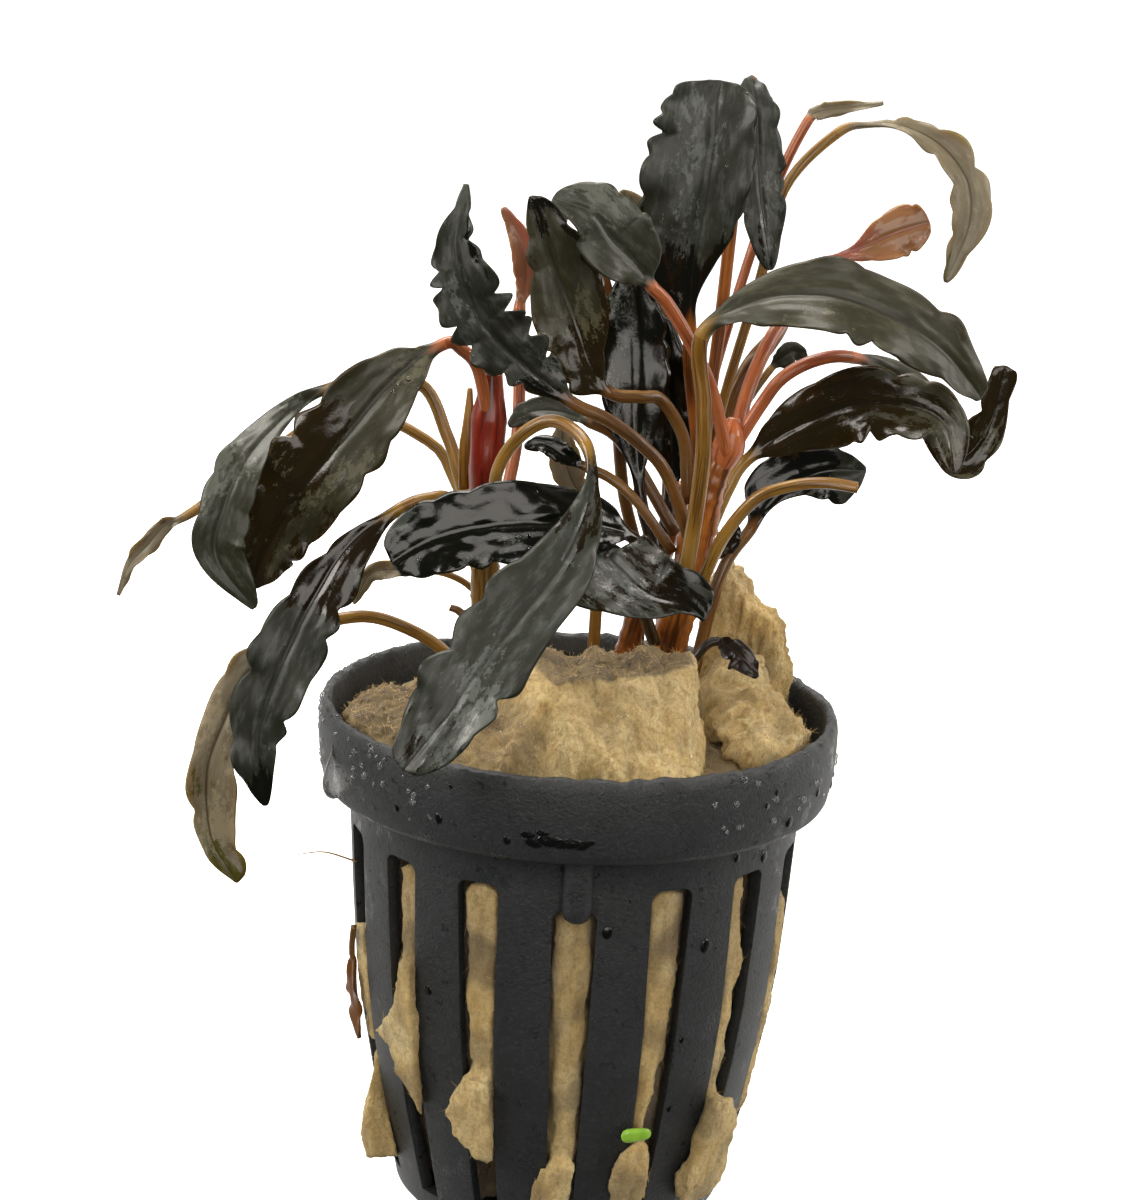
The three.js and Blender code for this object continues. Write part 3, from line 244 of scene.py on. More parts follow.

# %% [markdown]
# ## Leaf finishes
# A bucephalandra leaf is thick and leathery, like a small piece of wet hide. Where water lies on it
# the leaf is clear and nearly black, with brown and olive showing through, and it mirrors the room
# sharply. Where the water has run off, the fine cells of its skin scatter the light and it turns a
# satin grey green. Its paler streaks are partly its own tone and partly painted sheen, and its crisp
# flecks are painted glare, a paler colour for the light off wet cells. The border is crisp and
# ragged. So each face has two finishes.
# A number kept on the mesh, film_share, says where the satin one takes over. A second number,
# warm_share, says where brown or olive shows in the clear one. Old and young leaves are thin and pale.

# %% Leaf finishes
def leaf_face(name, clear, warm, satin, pale, margin, rib, gloss=0.15, dull=0.46, thin=0.0, vein=0.5):
    """One side of a leaf. clear, warm: wet tints. satin: the dry skin. pale: painted sheen, in streaks and
    flecks.
    gloss, dull: how rough the wet and the dry skin are. thin: how much light comes through. vein: how
    strongly the midrib shows."""
    material, mm = new_material(name)
    read = {}
    for label in ("across", "along_mm", "across_mm", "film_share", "warm_share", "stem_share", "leaf_number"):
        read[label] = layer(material, "ShaderNodeAttribute", {}, "Fac", attribute_name=label)
    stem_tint = layer(material, "ShaderNodeAttribute", {}, "Color", attribute_name="stem_tint")
    flat = layer(material, "ShaderNodeCombineXYZ",
                 {0: read["along_mm"], 1: read["across_mm"], 2: read["leaf_number"]})
    # Patterns are drawn out along the leaf, and its number gives each leaf a pattern of its own
    lengthwise = layer(material, "ShaderNodeMapping", {0: flat, 3: (0.3, 1.0, 7.0)})
    broad = layer(material, "ShaderNodeMapping", {0: flat, 3: (0.6, 1.0, 7.0)})
    side = layer(material, "ShaderNodeMath", {0: read["across"]}, operation="ABSOLUTE")

    # Clear, wet leaf: warm patches in the dark, drawn out along the leaf
    cloud = layer(material, "ShaderNodeTexNoise", {0: lengthwise, 2: 0.5, 3: 4.0, 4: 0.6})
    warm_at = layer(material, "ShaderNodeMath", {0: read["warm_share"], 1: cloud}, operation="ADD")
    warm_at = layer(material, "ShaderNodeMapRange", {0: warm_at, 1: 0.8, 2: 1.15}, **SOFT)
    wet = layer(material, "ShaderNodeMix", {0: warm_at, 6: linear(clear), 7: linear(warm)}, COLOUR_OUT,
                **COLOURS)

    # Satin, drained leaf: fine paler streaks, partly the cells' own tone and partly painted sheen
    streak = layer(material, "ShaderNodeTexNoise", {0: lengthwise, 2: 1.1, 3: 5.0, 4: 0.7})
    pale_at = layer(material, "ShaderNodeMapRange", {0: streak, 1: 0.46, 2: 0.72, 4: 0.5}, **SOFT)
    dry = layer(material, "ShaderNodeMix", {0: pale_at, 6: linear(satin), 7: linear(pale)}, COLOUR_OUT,
                **COLOURS)

    # The ragged border between them
    ragged = layer(material, "ShaderNodeTexNoise", {0: lengthwise, 2: 0.6, 3: 8.0, 4: 0.72})
    ragged = layer(material, "ShaderNodeMapRange", {0: ragged, 3: -0.3, 4: 1.3}, clamp=False)
    film = layer(material, "ShaderNodeMath", {0: read["film_share"], 1: ragged}, operation="ADD")
    film = layer(material, "ShaderNodeMapRange", {0: film, 1: 0.97, 2: 1.05}, **SOFT)
    colour = layer(material, "ShaderNodeMix", {0: film, 6: wet, 7: dry}, COLOUR_OUT, **COLOURS)

    # Crisp pale flecks in clusters: painted glare, a paler colour for the light off wet cells
    painted_glare_fleck = layer(material, "ShaderNodeTexNoise", {0: broad, 2: 1.5, 3: 8.0, 4: 0.75})
    cluster = layer(material, "ShaderNodeTexNoise", {0: broad, 2: 0.2, 3: 3.0})
    painted_glare_fleck = layer(material, "ShaderNodeMath", {0: painted_glare_fleck, 1: cluster}, operation="ADD")
    painted_glare_fleck = layer(material, "ShaderNodeMapRange", {0: painted_glare_fleck, 1: 1.12, 2: 1.17, 4: 0.8}, **SOFT)
    colour = layer(material, "ShaderNodeMix", {0: painted_glare_fleck, 6: colour, 7: linear(pale)}, COLOUR_OUT, **COLOURS)

    # A thin tinted margin, a midrib, and the stalk's tint at the base
    edge = layer(material, "ShaderNodeMapRange", {0: side, 1: 0.93, 2: 0.99, 4: 0.8}, **SOFT)
    colour = layer(material, "ShaderNodeMix", {0: edge, 6: colour, 7: linear(margin)}, COLOUR_OUT, **COLOURS)
    middle = layer(material, "ShaderNodeMapRange", {0: side, 1: 0.08, 2: 0.02, 4: vein}, **SOFT)
    colour = layer(material, "ShaderNodeMix", {0: middle, 6: colour, 7: linear(rib)}, COLOUR_OUT, **COLOURS)
    colour = layer(material, "ShaderNodeMix", {0: read["stem_share"], 6: colour, 7: stem_tint}, COLOUR_OUT,
                   **COLOURS)

    # Sharp mirror where it is wet, soft sheen where it is dry; the skin puckers between its veins
    rough = layer(material, "ShaderNodeMapRange", {0: film, 3: gloss, 4: dull})
    crease = layer(material, "ShaderNodeTexNoise", {0: broad, 2: 0.7, 3: 2.0, 4: 0.5})
    normal = layer(material, "ShaderNodeBump", {"Height": crease, "Distance": 0.25 * MM, "Strength": 0.15})
    grain = layer(material, "ShaderNodeTexNoise", {0: mm, 2: 3.5, 3: 3.0, 4: 0.6})
    normal = layer(material, "ShaderNodeBump",
                   {"Height": grain, "Distance": 0.05 * MM, "Strength": 0.35, "Normal": normal})
    layer(material, SHADER, {
        "Base Color": colour, "Roughness": rough, "Normal": normal, "IOR": 1.45, "Coat Weight": 0.15,
        "Coat Roughness": 0.12, "Coat IOR": 1.33, "Subsurface Weight": thin,
        "Subsurface Radius": (1.0, 0.7, 0.3), "Subsurface Scale": 0.8 * MM})
    return material


# Each look is clear, warm, satin, pale, margin and rib; pale paints sheen and glare on the satin
leaf_looks = {
    "dark": (
        leaf_face("wet_leaf_black_green", "#090a05", "#1d1508", "#1a1d10", "#555b55", "#1e1f0a", "#15170c"),
        leaf_face("leaf_underside_black", "#100e09", "#241b0e", "#2d2b21", "#434135", "#201a0e", "#2e2616",
                  gloss=0.25),
    ),
    "grey": (
        leaf_face("satin_leaf_grey_green", "#111208", "#241c0c", "#222412", "#5b5e53", "#231f0c", "#1b1c10"),
        leaf_face("leaf_underside_grey", "#1f1f16", "#2e281a", "#3b3a2e", "#545244", "#2a2318", "#363022",
                  gloss=0.3),
    ),
    "olive": (
        leaf_face("wet_leaf_olive_brown", "#0e0d05", "#231b08", "#282711", "#55533f", "#2e1f0f", "#1c1a0d",
                  thin=0.03),
        leaf_face("leaf_underside_olive", "#1e180a", "#33290f", "#3b3726", "#524d3d", "#33271a", "#403722",
                  gloss=0.28, thin=0.06),
    ),
    "pale": (
        leaf_face("thin_old_leaf_taupe", "#544c39", "#4d4a17", "#6f6650", "#8c8268", "#4a3c22", "#3f2c14",
                  gloss=0.3, thin=0.2, vein=0.85),
        leaf_face("thin_old_leaf_underside", "#655c47", "#565120", "#756d57", "#8f866d", "#524428", "#44341f",
                  gloss=0.34, thin=0.2, vein=0.8),
    ),
    "pink": (
        leaf_face("young_leaf_pink_brown", "#94584a", "#8a6242", "#a0695a", "#b58678", "#7a4a30", "#8a4632",
                  gloss=0.25, thin=0.2, vein=0.7),
        leaf_face("young_leaf_underside", "#99604f", "#8f684b", "#a46f5f", "#b58678", "#7a4a30", "#8a4632",
                  gloss=0.32, thin=0.2, vein=0.7),
    ),
    "brown": (
        leaf_face("withered_leaf_brown", "#1a1009", "#6a4118", "#2b1f16", "#3e3126", "#241610", "#3a2416",
                  gloss=0.3),
        leaf_face("withered_leaf_underside", "#1a1009", "#6a4118", "#2b1f16", "#3e3126", "#241610", "#3a2416",
                  gloss=0.4),
    ),
}
print("leaf finishes:", len(leaf_looks) * 2)

# %% [markdown]
# ## Stalk finishes
# Stalks and stems are smooth, juicy and slightly see-through, ochre to red, with fine streaks that
# run along them. Streaks come from noise that is stretched along the stalk: it is read from two
# numbers kept on the mesh, the length along the stalk and the angle round it.

# %% Stalk finishes
STALK_ROUGH = 0.24


def stalk_face(name, colour, second, dark, pale):
    """A stalk: two tints that change along it, with dark and pale streaks."""
    material, mm = new_material(name)
    along = layer(material, "ShaderNodeAttribute", {}, "Fac", attribute_name="along_mm")
    around = layer(material, "ShaderNodeAttribute", {}, "Fac", attribute_name="around")
    flat = layer(material, "ShaderNodeCombineXYZ", {0: along, 1: around})
    stretched = layer(material, "ShaderNodeMapping", {0: flat, 3: (0.07, 1.5, 1.0)})
    streak = layer(material, "ShaderNodeTexNoise", {0: stretched, 2: 1.5, 3: 3.0, 4: 0.6})
    cloud = layer(material, "ShaderNodeTexNoise", {0: mm, 2: 0.14, 3: 2.0})
    tint_at = layer(material, "ShaderNodeMapRange", {0: cloud, 1: 0.4, 2: 0.62}, **SOFT)
    tint = layer(material, "ShaderNodeMix", {0: tint_at, 6: linear(colour), 7: linear(second)}, COLOUR_OUT,
                 **COLOURS)
    pale_at = layer(material, "ShaderNodeMapRange", {0: streak, 1: 0.46, 2: 0.34, 4: 0.45}, **SOFT)
    tint = layer(material, "ShaderNodeMix", {0: pale_at, 6: tint, 7: linear(pale)}, COLOUR_OUT, **COLOURS)
    dark_at = layer(material, "ShaderNodeMapRange", {0: streak, 1: 0.5, 2: 0.6, 4: 0.8}, **SOFT)
    tint = layer(material, "ShaderNodeMix", {0: dark_at, 6: tint, 7: linear(dark)}, COLOUR_OUT, **COLOURS)
    rough = layer(material, "ShaderNodeMapRange",
                  {0: streak, 1: 0.3, 2: 0.7, 3: 0.8 * STALK_ROUGH, 4: 1.5 * STALK_ROUGH})
    normal = layer(material, "ShaderNodeBump", {"Height": streak, "Distance": 0.1 * MM, "Strength": 0.7})
    layer(material, SHADER, {
        "Base Color": tint, "Roughness": rough, "Normal": normal, "IOR": 1.42, "Coat Weight": 0.4,
        "Coat Roughness": 0.08, "Coat IOR": 1.33, "Subsurface Weight": 0.15,
        "Subsurface Radius": (1.0, 0.45, 0.2), "Subsurface Scale": 0.6 * MM})
    return material


stalk_tints = {
    "ochre": ("juicy_stalk_ochre", "#94702f", "#80591e", "#432b0e", "#b8935a"),
    "orange": ("juicy_stalk_orange_brown", "#9c5a20", "#743e12", "#2c1507", "#b8773c"),
    "pink": ("juicy_stalk_pink_orange", "#b0653a", "#98502a", "#622412", "#c98a62"),
    "red": ("juicy_sheath_red", "#842414", "#9c4a24", "#3c0e08", "#a84a34"),
    "brown": ("wet_stalk_brown", "#66431e", "#745226", "#2b1a09", "#94713c"),
    "dark": ("old_stalk_dark", "#20140a", "#2c1c0e", "#0f0904", "#3c2a16"),
}
stalk_looks = {name: stalk_face(*tints) for name, tints in stalk_tints.items()}
print("stalk finishes:", len(stalk_looks))

# %% [markdown]
# ## The shape of a leaf
# Every leaf is one body: a round stalk whose rings flatten into a blade. The blade is folded a
# little along its midrib, and its margin is ruffled, because the edge grows faster than the middle:
# it rises and falls, and seen from in front the same waves look like scallops. A groove follows the
# midrib on the upper face and a ridge below, side veins run up towards the tip, and the skin
# between them puckers.

# %% Outline and skin of a blade
# In mm: the groove over the midrib and the rib under it, the spacing of the side veins, how deep they
# lie, and the blade's thickness at its midrib and at its margin
GROOVE, RIB = 0.22, 0.4
VEIN_EVERY, VEIN_DEEP = 2.6, 0.05
BLADE_MIDDLE, BLADE_EDGE = 0.46, 0.10
# How sharply a blade runs out into its stalk
TAPER = 1.15


def uneven(b, count, seed):
    """Counts margin lobes along a blade, some long and some short."""
    return count * b + 0.30 * np.sin(7.1 * b + seed) + 0.19 * np.sin(15.7 * b + 2.3 * seed)


def shares(levels, spots, b, x):
    """How much of something a leaf has: levels from base to tip, and spots (b, x, long, wide, how much)."""
    total = np.repeat(read_at(levels, b), x.shape[1], axis=1)
    for at_b, at_x, long, wide, much in spots:
        total += much * np.exp(-(((b[:, None] - at_b) / long) ** 2) - ((x - at_x) / wide) ** 2)
    return total.clip(-0.5, 1.3)


def by_side(left, of_left, of_right):
    """A number for each ring, one left of the midrib and another right of it."""
    return np.where(left, of_left[:, None], of_right[:, None])


def outline_of(b, left, half, peak, full, lobes, scallop, seed):
    """The half widths of a blade: a bell that tapers into the stalk, each side its own, cut into lobes.
    Also that bell before it is cut, and the count of lobes along each side."""
    peaks, fulls = np.broadcast_to(peak, 2), np.broadcast_to(full, 2)
    bells, widths, beats = [], [], []
    for i in (0, 1):
        blunt = TAPER + (fulls[i] - TAPER) * ease(b / 0.55)
        bells.append(np.sin(math.pi * b ** (math.log(0.5) / math.log(peaks[i]))).clip(0) ** blunt)
        beats.append(uneven(b, lobes[i], seed + 1.7 * i))
        deep = scallop[i] * (0.75 + 0.5 * np.sin(2.1 * beats[i] + seed))
        widths.append(half[i] * bells[i] * (1 - deep * (1 - np.abs(np.sin(math.pi * beats[i])))))
    return by_side(left, *widths), by_side(left, *bells), beats


def skin_of(length, offset, x, pucker, seed):
    """How high the skin puckers between the side veins, and how deep the veins lie, in mm."""
    spread = np.stack([np.broadcast_to(length[:, None] * 0.5, x.shape).ravel(), offset.ravel()], axis=1)
    skin = waves(spread, 3.6, seed + 1) * pucker * 1.5 + waves(spread, 1.5, seed + 2) * pucker * 0.5
    slant = (length[:, None] - 0.9 * np.abs(offset)) / VEIN_EVERY
    veins = np.cos(math.pi * (slant + 0.25 * waves(spread, 6, seed + 3).reshape(x.shape))) ** 16
    return (skin.reshape(x.shape) * (0.3 + 0.7 * np.abs(x)),
            VEIN_DEEP * veins * np.clip(np.abs(x) * 4, 0, 1) * (1 - np.abs(x)))


halfway = uneven(np.array([0.5]), 6, 0)[0]
print("lobes in the lower half of a margin with 6:", round(halfway, 1))

# %% [markdown]
# ## Grow a leaf
# The rings are laid along the curve first, then each point is pushed sideways by the outline and up
# or down by the fold, the waves of the margin, the skin, the veins and the midrib. Faces of the
# upper side, the underside and the stalk get their own finish.

# %% Grow a leaf
# In mm: how far a stalk is drawn on beyond its lowest point, towards its stem, and how high the
# blade's slow sway is. A few stalks meet their stem with it, but most still stop short of it.
FOOT, SWAY = 0.7, 0.3


def grow_leaf(name, stalk, blade, half, face, look, stem="ochre", peak=0.5, full=0.75, fold=12,
              radius=0.62, ruffle=(0.4, 0.4), lobes=(6, 6), scallop=(0.16, 0.16), pucker=0.09,
              film=(0.5,), warm=(0.3,), spots=(), small=False, foot=None, seed=0, slot=None, node=None):
    """A leaf from the points of its stalk and blade, its half widths and the way its face looks.
    peak is where it is widest, and full how blunt its tip is: a larger number makes a finer tip.
    ruffle is how high the margin's waves are in mm, lobes how many there are, left and right.
    foot is where the stalk starts, if that isn't straight on from its lowest point."""
    rise = np.subtract(stalk[1], stalk[0])
    straight_on = stalk[0] - FOOT * rise / np.linalg.norm(rise)
    points = [straight_on if foot is None else foot, *stalk[1:], *blade]
    join = (len(stalk) - 1) / (len(points) - 1)
    stalk_rows, blade_rows, across_steps = (16, 44, 14) if small else (28, 120, 26)
    b = np.concatenate([np.zeros(stalk_rows), np.linspace(0, 1, blade_rows)])
    t = np.concatenate([np.linspace(0, join, stalk_rows, endpoint=False), join + (1 - join) * b[stalk_rows:]])
    place, across, out, length = frames_along(points, face, t, b)

    # Where each point of a ring sits: x from -1 to 1 across the leaf, upper side first
    k = np.arange(2 * across_steps)
    upper = k <= across_steps
    turn = np.where(upper, k, 2 * across_steps - k) / across_steps
    side = np.where(upper, 1.0, -1.0)
    side[[0, across_steps]] = 0
    flat = ease(b / 0.15)[:, None]
    x = (1 - flat) * np.cos(math.pi * turn) + flat * (1 - 2 * turn)
    left = x < 0

    width, bell, beats = outline_of(b, left, half, peak, full, lobes, scallop, seed)
    offset = x * ((1 - flat) * radius + flat * (radius * 0.4 + width))

    # Height over the midrib: thickness, fold, ruffled margin, slow sway, skin and veins
    thick = BLADE_MIDDLE + (BLADE_EDGE - BLADE_MIDDLE) * np.abs(x) ** 1.4
    rounding = np.sqrt((1 - np.abs(x) ** 12).clip(0))
    lift = np.sin(math.pi * turn) * side * radius * (1 - flat) + flat * side * thick / 2 * rounding
    lift += flat * np.abs(offset) * math.tan(math.radians(fold))
    crests = by_side(left, *[ruffle[i] * np.sin(math.pi * beats[i]) for i in (0, 1)])
    calm = np.minimum(1, bell * 1.6) * flat
    lift += calm * crests * np.abs(x) ** 3.2
    swing = by_side(left, np.sin(7.5 * b + seed), np.sin(6.6 * b + 2 * seed + 1))
    lift += calm * SWAY * swing * np.abs(x) ** 1.5
    lift -= calm * 0.04 * np.cos(5.5 * math.pi * np.abs(x)) * (1 - np.abs(x)) * np.minimum(1, width / 2.5)
    puckers, furrows = skin_of(length, offset, x, pucker, seed)
    lift += calm * puckers - flat * furrows
    middle = np.exp(-((offset / 0.42) ** 2)) * (1 - 0.7 * b)[:, None]
    lift -= flat * middle * np.where(side < 0, RIB, GROOVE)
    verts = place[:, None, :] + offset[..., None] * across[:, None, :] + lift[..., None] * out[:, None, :]

    # Each face's finish: 0 upper side, 1 underside, 2 stalk, and last the two faces that close the ends
    rows, around = x.shape
    faces = ring_faces(rows, around)
    blade_face = np.arange(rows - 1) >= stalk_rows
    is_upper = np.arange(around) < across_steps
    which = np.where(blade_face[:, None], np.where(is_upper, 0, 1), 2).ravel()
    which = np.append(which, [2, 1])
    # What the finishes read
    fade = 1 - ease((b[:, None] + 0.06 * np.minimum(1, np.abs(offset) / 0.9) - 0.02) / 0.09)
    values = {
        "across": np.where(flat > 0.5, x, 0.06).ravel(),
        "along_mm": np.broadcast_to(length[:, None], x.shape).ravel(),
        "across_mm": offset.ravel(),
        "around": np.broadcast_to(np.abs(turn * 2 - 1) * 2 + side, x.shape).ravel(),
        "stem_share": np.where(b[:, None] > 0, fade, 1).ravel(),
        "film_share": shares(film, spots, b, x).ravel(),
        "warm_share": shares(warm, (), b, x).ravel(),
        "leaf_number": np.full(x.size, float(seed)),
    }
    top, under = leaf_looks[look]
    piece = make_piece(name, verts.reshape(-1, 3), faces, [top, under, stalk_looks[stem]], which, values,
                       stands_for=node)
    tint = piece.data.attributes.new("stem_tint", "FLOAT_COLOR", "POINT")
    tint.data.foreach_set("color", np.tile(linear(stalk_tints[stem][1]), rows * around))
    return piece

# %% [markdown]
# ## The leaves
# Thirty-one leaves, each at its own place and bend. The points are the same as in the solid model,
# in millimetres; the widths are left and right of the midrib, seen on the upper face with the tip
# up. The ruffles, the finish and the stalk colour are chosen here: film is how much of the leaf has
# drained to satin, from its base to its tip, and warm is how brown or olive its wet parts are.

# %% Left leaves
left_leaves = {
    "left_broad": dict(
        stalk=[[-10.4, 0.4, 79.5], [-11.1, 0.8, 81.6], [-12.6, 0.6, 83.3], [-14.3, 0, 83.9]],
        blade=[[-18.5, -2, 80.8], [-23.1, -3, 75.1], [-27.2, -2.5, 69.8], [-30.3, -1, 63.9],
               [-31.9, 0, 59.4]],
        half=[4.4, 4.6], face=[[0.1, -1, 0.5], [0, -1, 0.1]], look="olive", stem="pink", ruffle=(0.6, 0.6),
        lobes=(9, 9), scallop=(0.15, 0.24), film=[0.9, 0.9, 0.55, 0.4, 0.4, 0.35],
        warm=[0.3, 0.7, 0.9, 0.8, 0.5],
        spots=[(0.45, 0.5, 0.22, 0.35, -0.4), (0.42, -0.6, 0.18, 0.3, 0.45), (0.22, 0.6, 0.08, 0.3, 0.4),
               (0.75, -0.5, 0.2, 0.3, 0.15)],
        foot=[-10.0, 1.6, 77.0]),
    "left_grey": dict(
        stalk=[[-11.6, 4.6, 66.4], [-12.9, 6, 70.6], [-14.1, 6.6, 73.9], [-17, 6.6, 78.9],
               [-23.9, 3.5, 79]],
        blade=[[-28.8, 3.6, 76.1], [-32.2, -3.6, 72.5], [-34, -5.5, 68], [-34.5, -6, 63.8],
               [-30.8, -6.5, 59.1]],
        half=[2.8, 2.2], face=[[0, -1, 0.5], [0, -1, 0]], peak=[0.72, 0.5], full=[0.6, 0.75], look="grey",
        stem="ochre", ruffle=(0.35, 0.5), lobes=(6, 6), scallop=(0.13, 0.15), film=[1], warm=[0.3]),
    "left_thin": dict(
        stalk=[[-10.2, 5.4, 63.4], [-13.2, 9, 68.7], [-16.3, 10.4, 72.6], [-25.6, 12, 74.5],
               [-38.8, 11, 64.5]],
        blade=[[-42.1, 11, 62.6], [-44, 11, 60.3], [-45.9, 11, 57.9], [-46.9, 11, 55.1]],
        half=[0.8, 0.7], face=[[0, -1, 0.3], [-0.6, -1, 0]], radius=0.55, small=True, look="pale",
        stem="ochre", ruffle=(0.4, 0.4), lobes=(4, 4), scallop=(0.25, 0.25), film=[0.7], warm=[0.2]),
    "left_hang": dict(
        stalk=[[-11.4, 0.9, 66.8], [-13.2, -0.8, 69.2], [-15, -2, 69.5], [-17.5, -3, 68.7]],
        blade=[[-22, -5, 65.6], [-25.1, -6.6, 60.6], [-27.5, -7.6, 55.3], [-29.3, -8.2, 50.2],
               [-30, -8.5, 45.9], [-29.2, -8.5, 40.4]],
        half=[3.4, 3.3], face=[[-0.2, -1, 0.3], [0, -1, 0]], peak=[0.42, 0.6], look="dark", stem="ochre",
        ruffle=(0.5, 0.55), lobes=(7, 8), scallop=(0.27, 0.28),
        film=[0.1, 0.15, 0.2, 0.35, 0.9, 1, 1, 1, 0.6, 0.1], warm=[0.9, 0.8, 0.6, 0.3, 0.2],
        pucker=0.07),
    "left_low": dict(
        stalk=[[-10.6, 8.8, 48.2], [-14, 6.4, 52.5], [-17.4, 4.4, 55], [-20.7, 2.6, 56.4],
               [-23.9, 1, 56.4]],
        blade=[[-28.3, -0.5, 55.5], [-31.7, -1.6, 51.6], [-34, -2, 46.9], [-35.7, -2.4, 41.4],
               [-35.2, -2.4, 34.8], [-32.5, -2.4, 30.2]],
        half=[3, 2], face=[[0, -1, 0.6], [0, -1, 0]], peak=[0.72, 0.45], full=[0.5, 0.75], look="pale",
        stem="ochre", ruffle=(0.5, 0.6), lobes=(6, 7), scallop=(0.3, 0.34),
        film=[0.9, 0.8, 0.8, 0.7, 0.6, 0.3], warm=[0.3, 0.6, 0.8, 0.6, 0.6, 0.9],
        spots=[(0.35, -0.7, 0.25, 0.35, -0.5)]),
    "back_narrow": dict(
        stalk=[[-8, 13.4, 48.2], [-9.2, 14, 54], [-11.4, 14, 56.8], [-13.7, 14, 58.1],
               [-16.3, 14, 58.5]],
        blade=[[-19.3, 14, 58.4], [-21.8, 14, 57.8], [-23.4, 14, 54.6]],
        half=[0.9, 0.8], face=[[0, -1, 0.6], [0, -1, 0]], radius=0.35, small=True, look="pale",
        stem="ochre", ruffle=(0.2, 0.2), film=[0.7], warm=[0.4]),
}

# %% Front leaves
front_leaves = {
    "front_droop": dict(
        stalk=[[-8.8, 0.8, 67.2], [-8.8, -2.6, 72.3], [-6.8, -4.4, 76.2], [-3.7, -6, 78.2],
               [-0.6, -9.4, 76.9]],
        blade=[[0.1, -12.6, 72.9], [-1.8, -16.4, 67.8], [-5.4, -20, 63.3], [-8.8, -23, 59.2],
               [-11.5, -24.6, 55.1], [-15, -25.6, 50.2]],
        half=[4, 4.2], face=[[0, -1, 0.4], [0, -0.7, 0.7]], peak=0.64, full=0.45, look="dark", stem="ochre",
        ruffle=(0.6, 0.6), lobes=(6, 6), scallop=(0.24, 0.26), film=[0.1, 0.45, 0.85, 0.8, 0.65, 0.5],
        warm=[0.8, 0.5, 0.5, 0.7, 0.4]),
    "front_dark": dict(
        stalk=[[7.8, 0.8, 60.4], [6.6, -1.6, 63.8], [4.4, -4, 67]],
        blade=[[1.2, -6.4, 68.6], [-4, -8.4, 69.1], [-10, -9.4, 68.6], [-14.4, -10, 67.3],
               [-17.8, -10.6, 65.2]],
        half=[3.7, 3.7], face=[[0, -1, 0.6], [0, -1, 0.3]], full=0.28, look="dark", stem="dark",
        ruffle=(0.55, 0.45), lobes=(6, 5), scallop=(0.15, 0.12), film=[0.3, 0.35, 0.2, 0.25, 0.2, 0.3],
        warm=[0.1], spots=[(0.3, -0.5, 0.08, 0.3, 0.5)], fold=8, pucker=0.11),
    "front_short": dict(
        stalk=[[6.8, 2.2, 55.8], [4.7, -1.4, 61.8], [2.8, -4.8, 65.8]],
        blade=[[2, -7, 66], [3.7, -9.1, 64.8], [6, -10.9, 63.5], [9, -12.2, 63], [11, -13, 61.9]],
        half=[3.9, 5.6], face=[[0, -0.8, 0.8], [-0.1, -1, 0.6], [0.4, -1, 0.2]], peak=[0.38, 0.3],
        full=[0.35, 2], look="dark", stem="dark", ruffle=(0.4, 0.3), lobes=(4, 4), scallop=(0.08, 0.06),
        film=[0.45, 0.55, 0.5, 0.3], warm=[0.7, 0.6, 0.3], pucker=0.05),
}

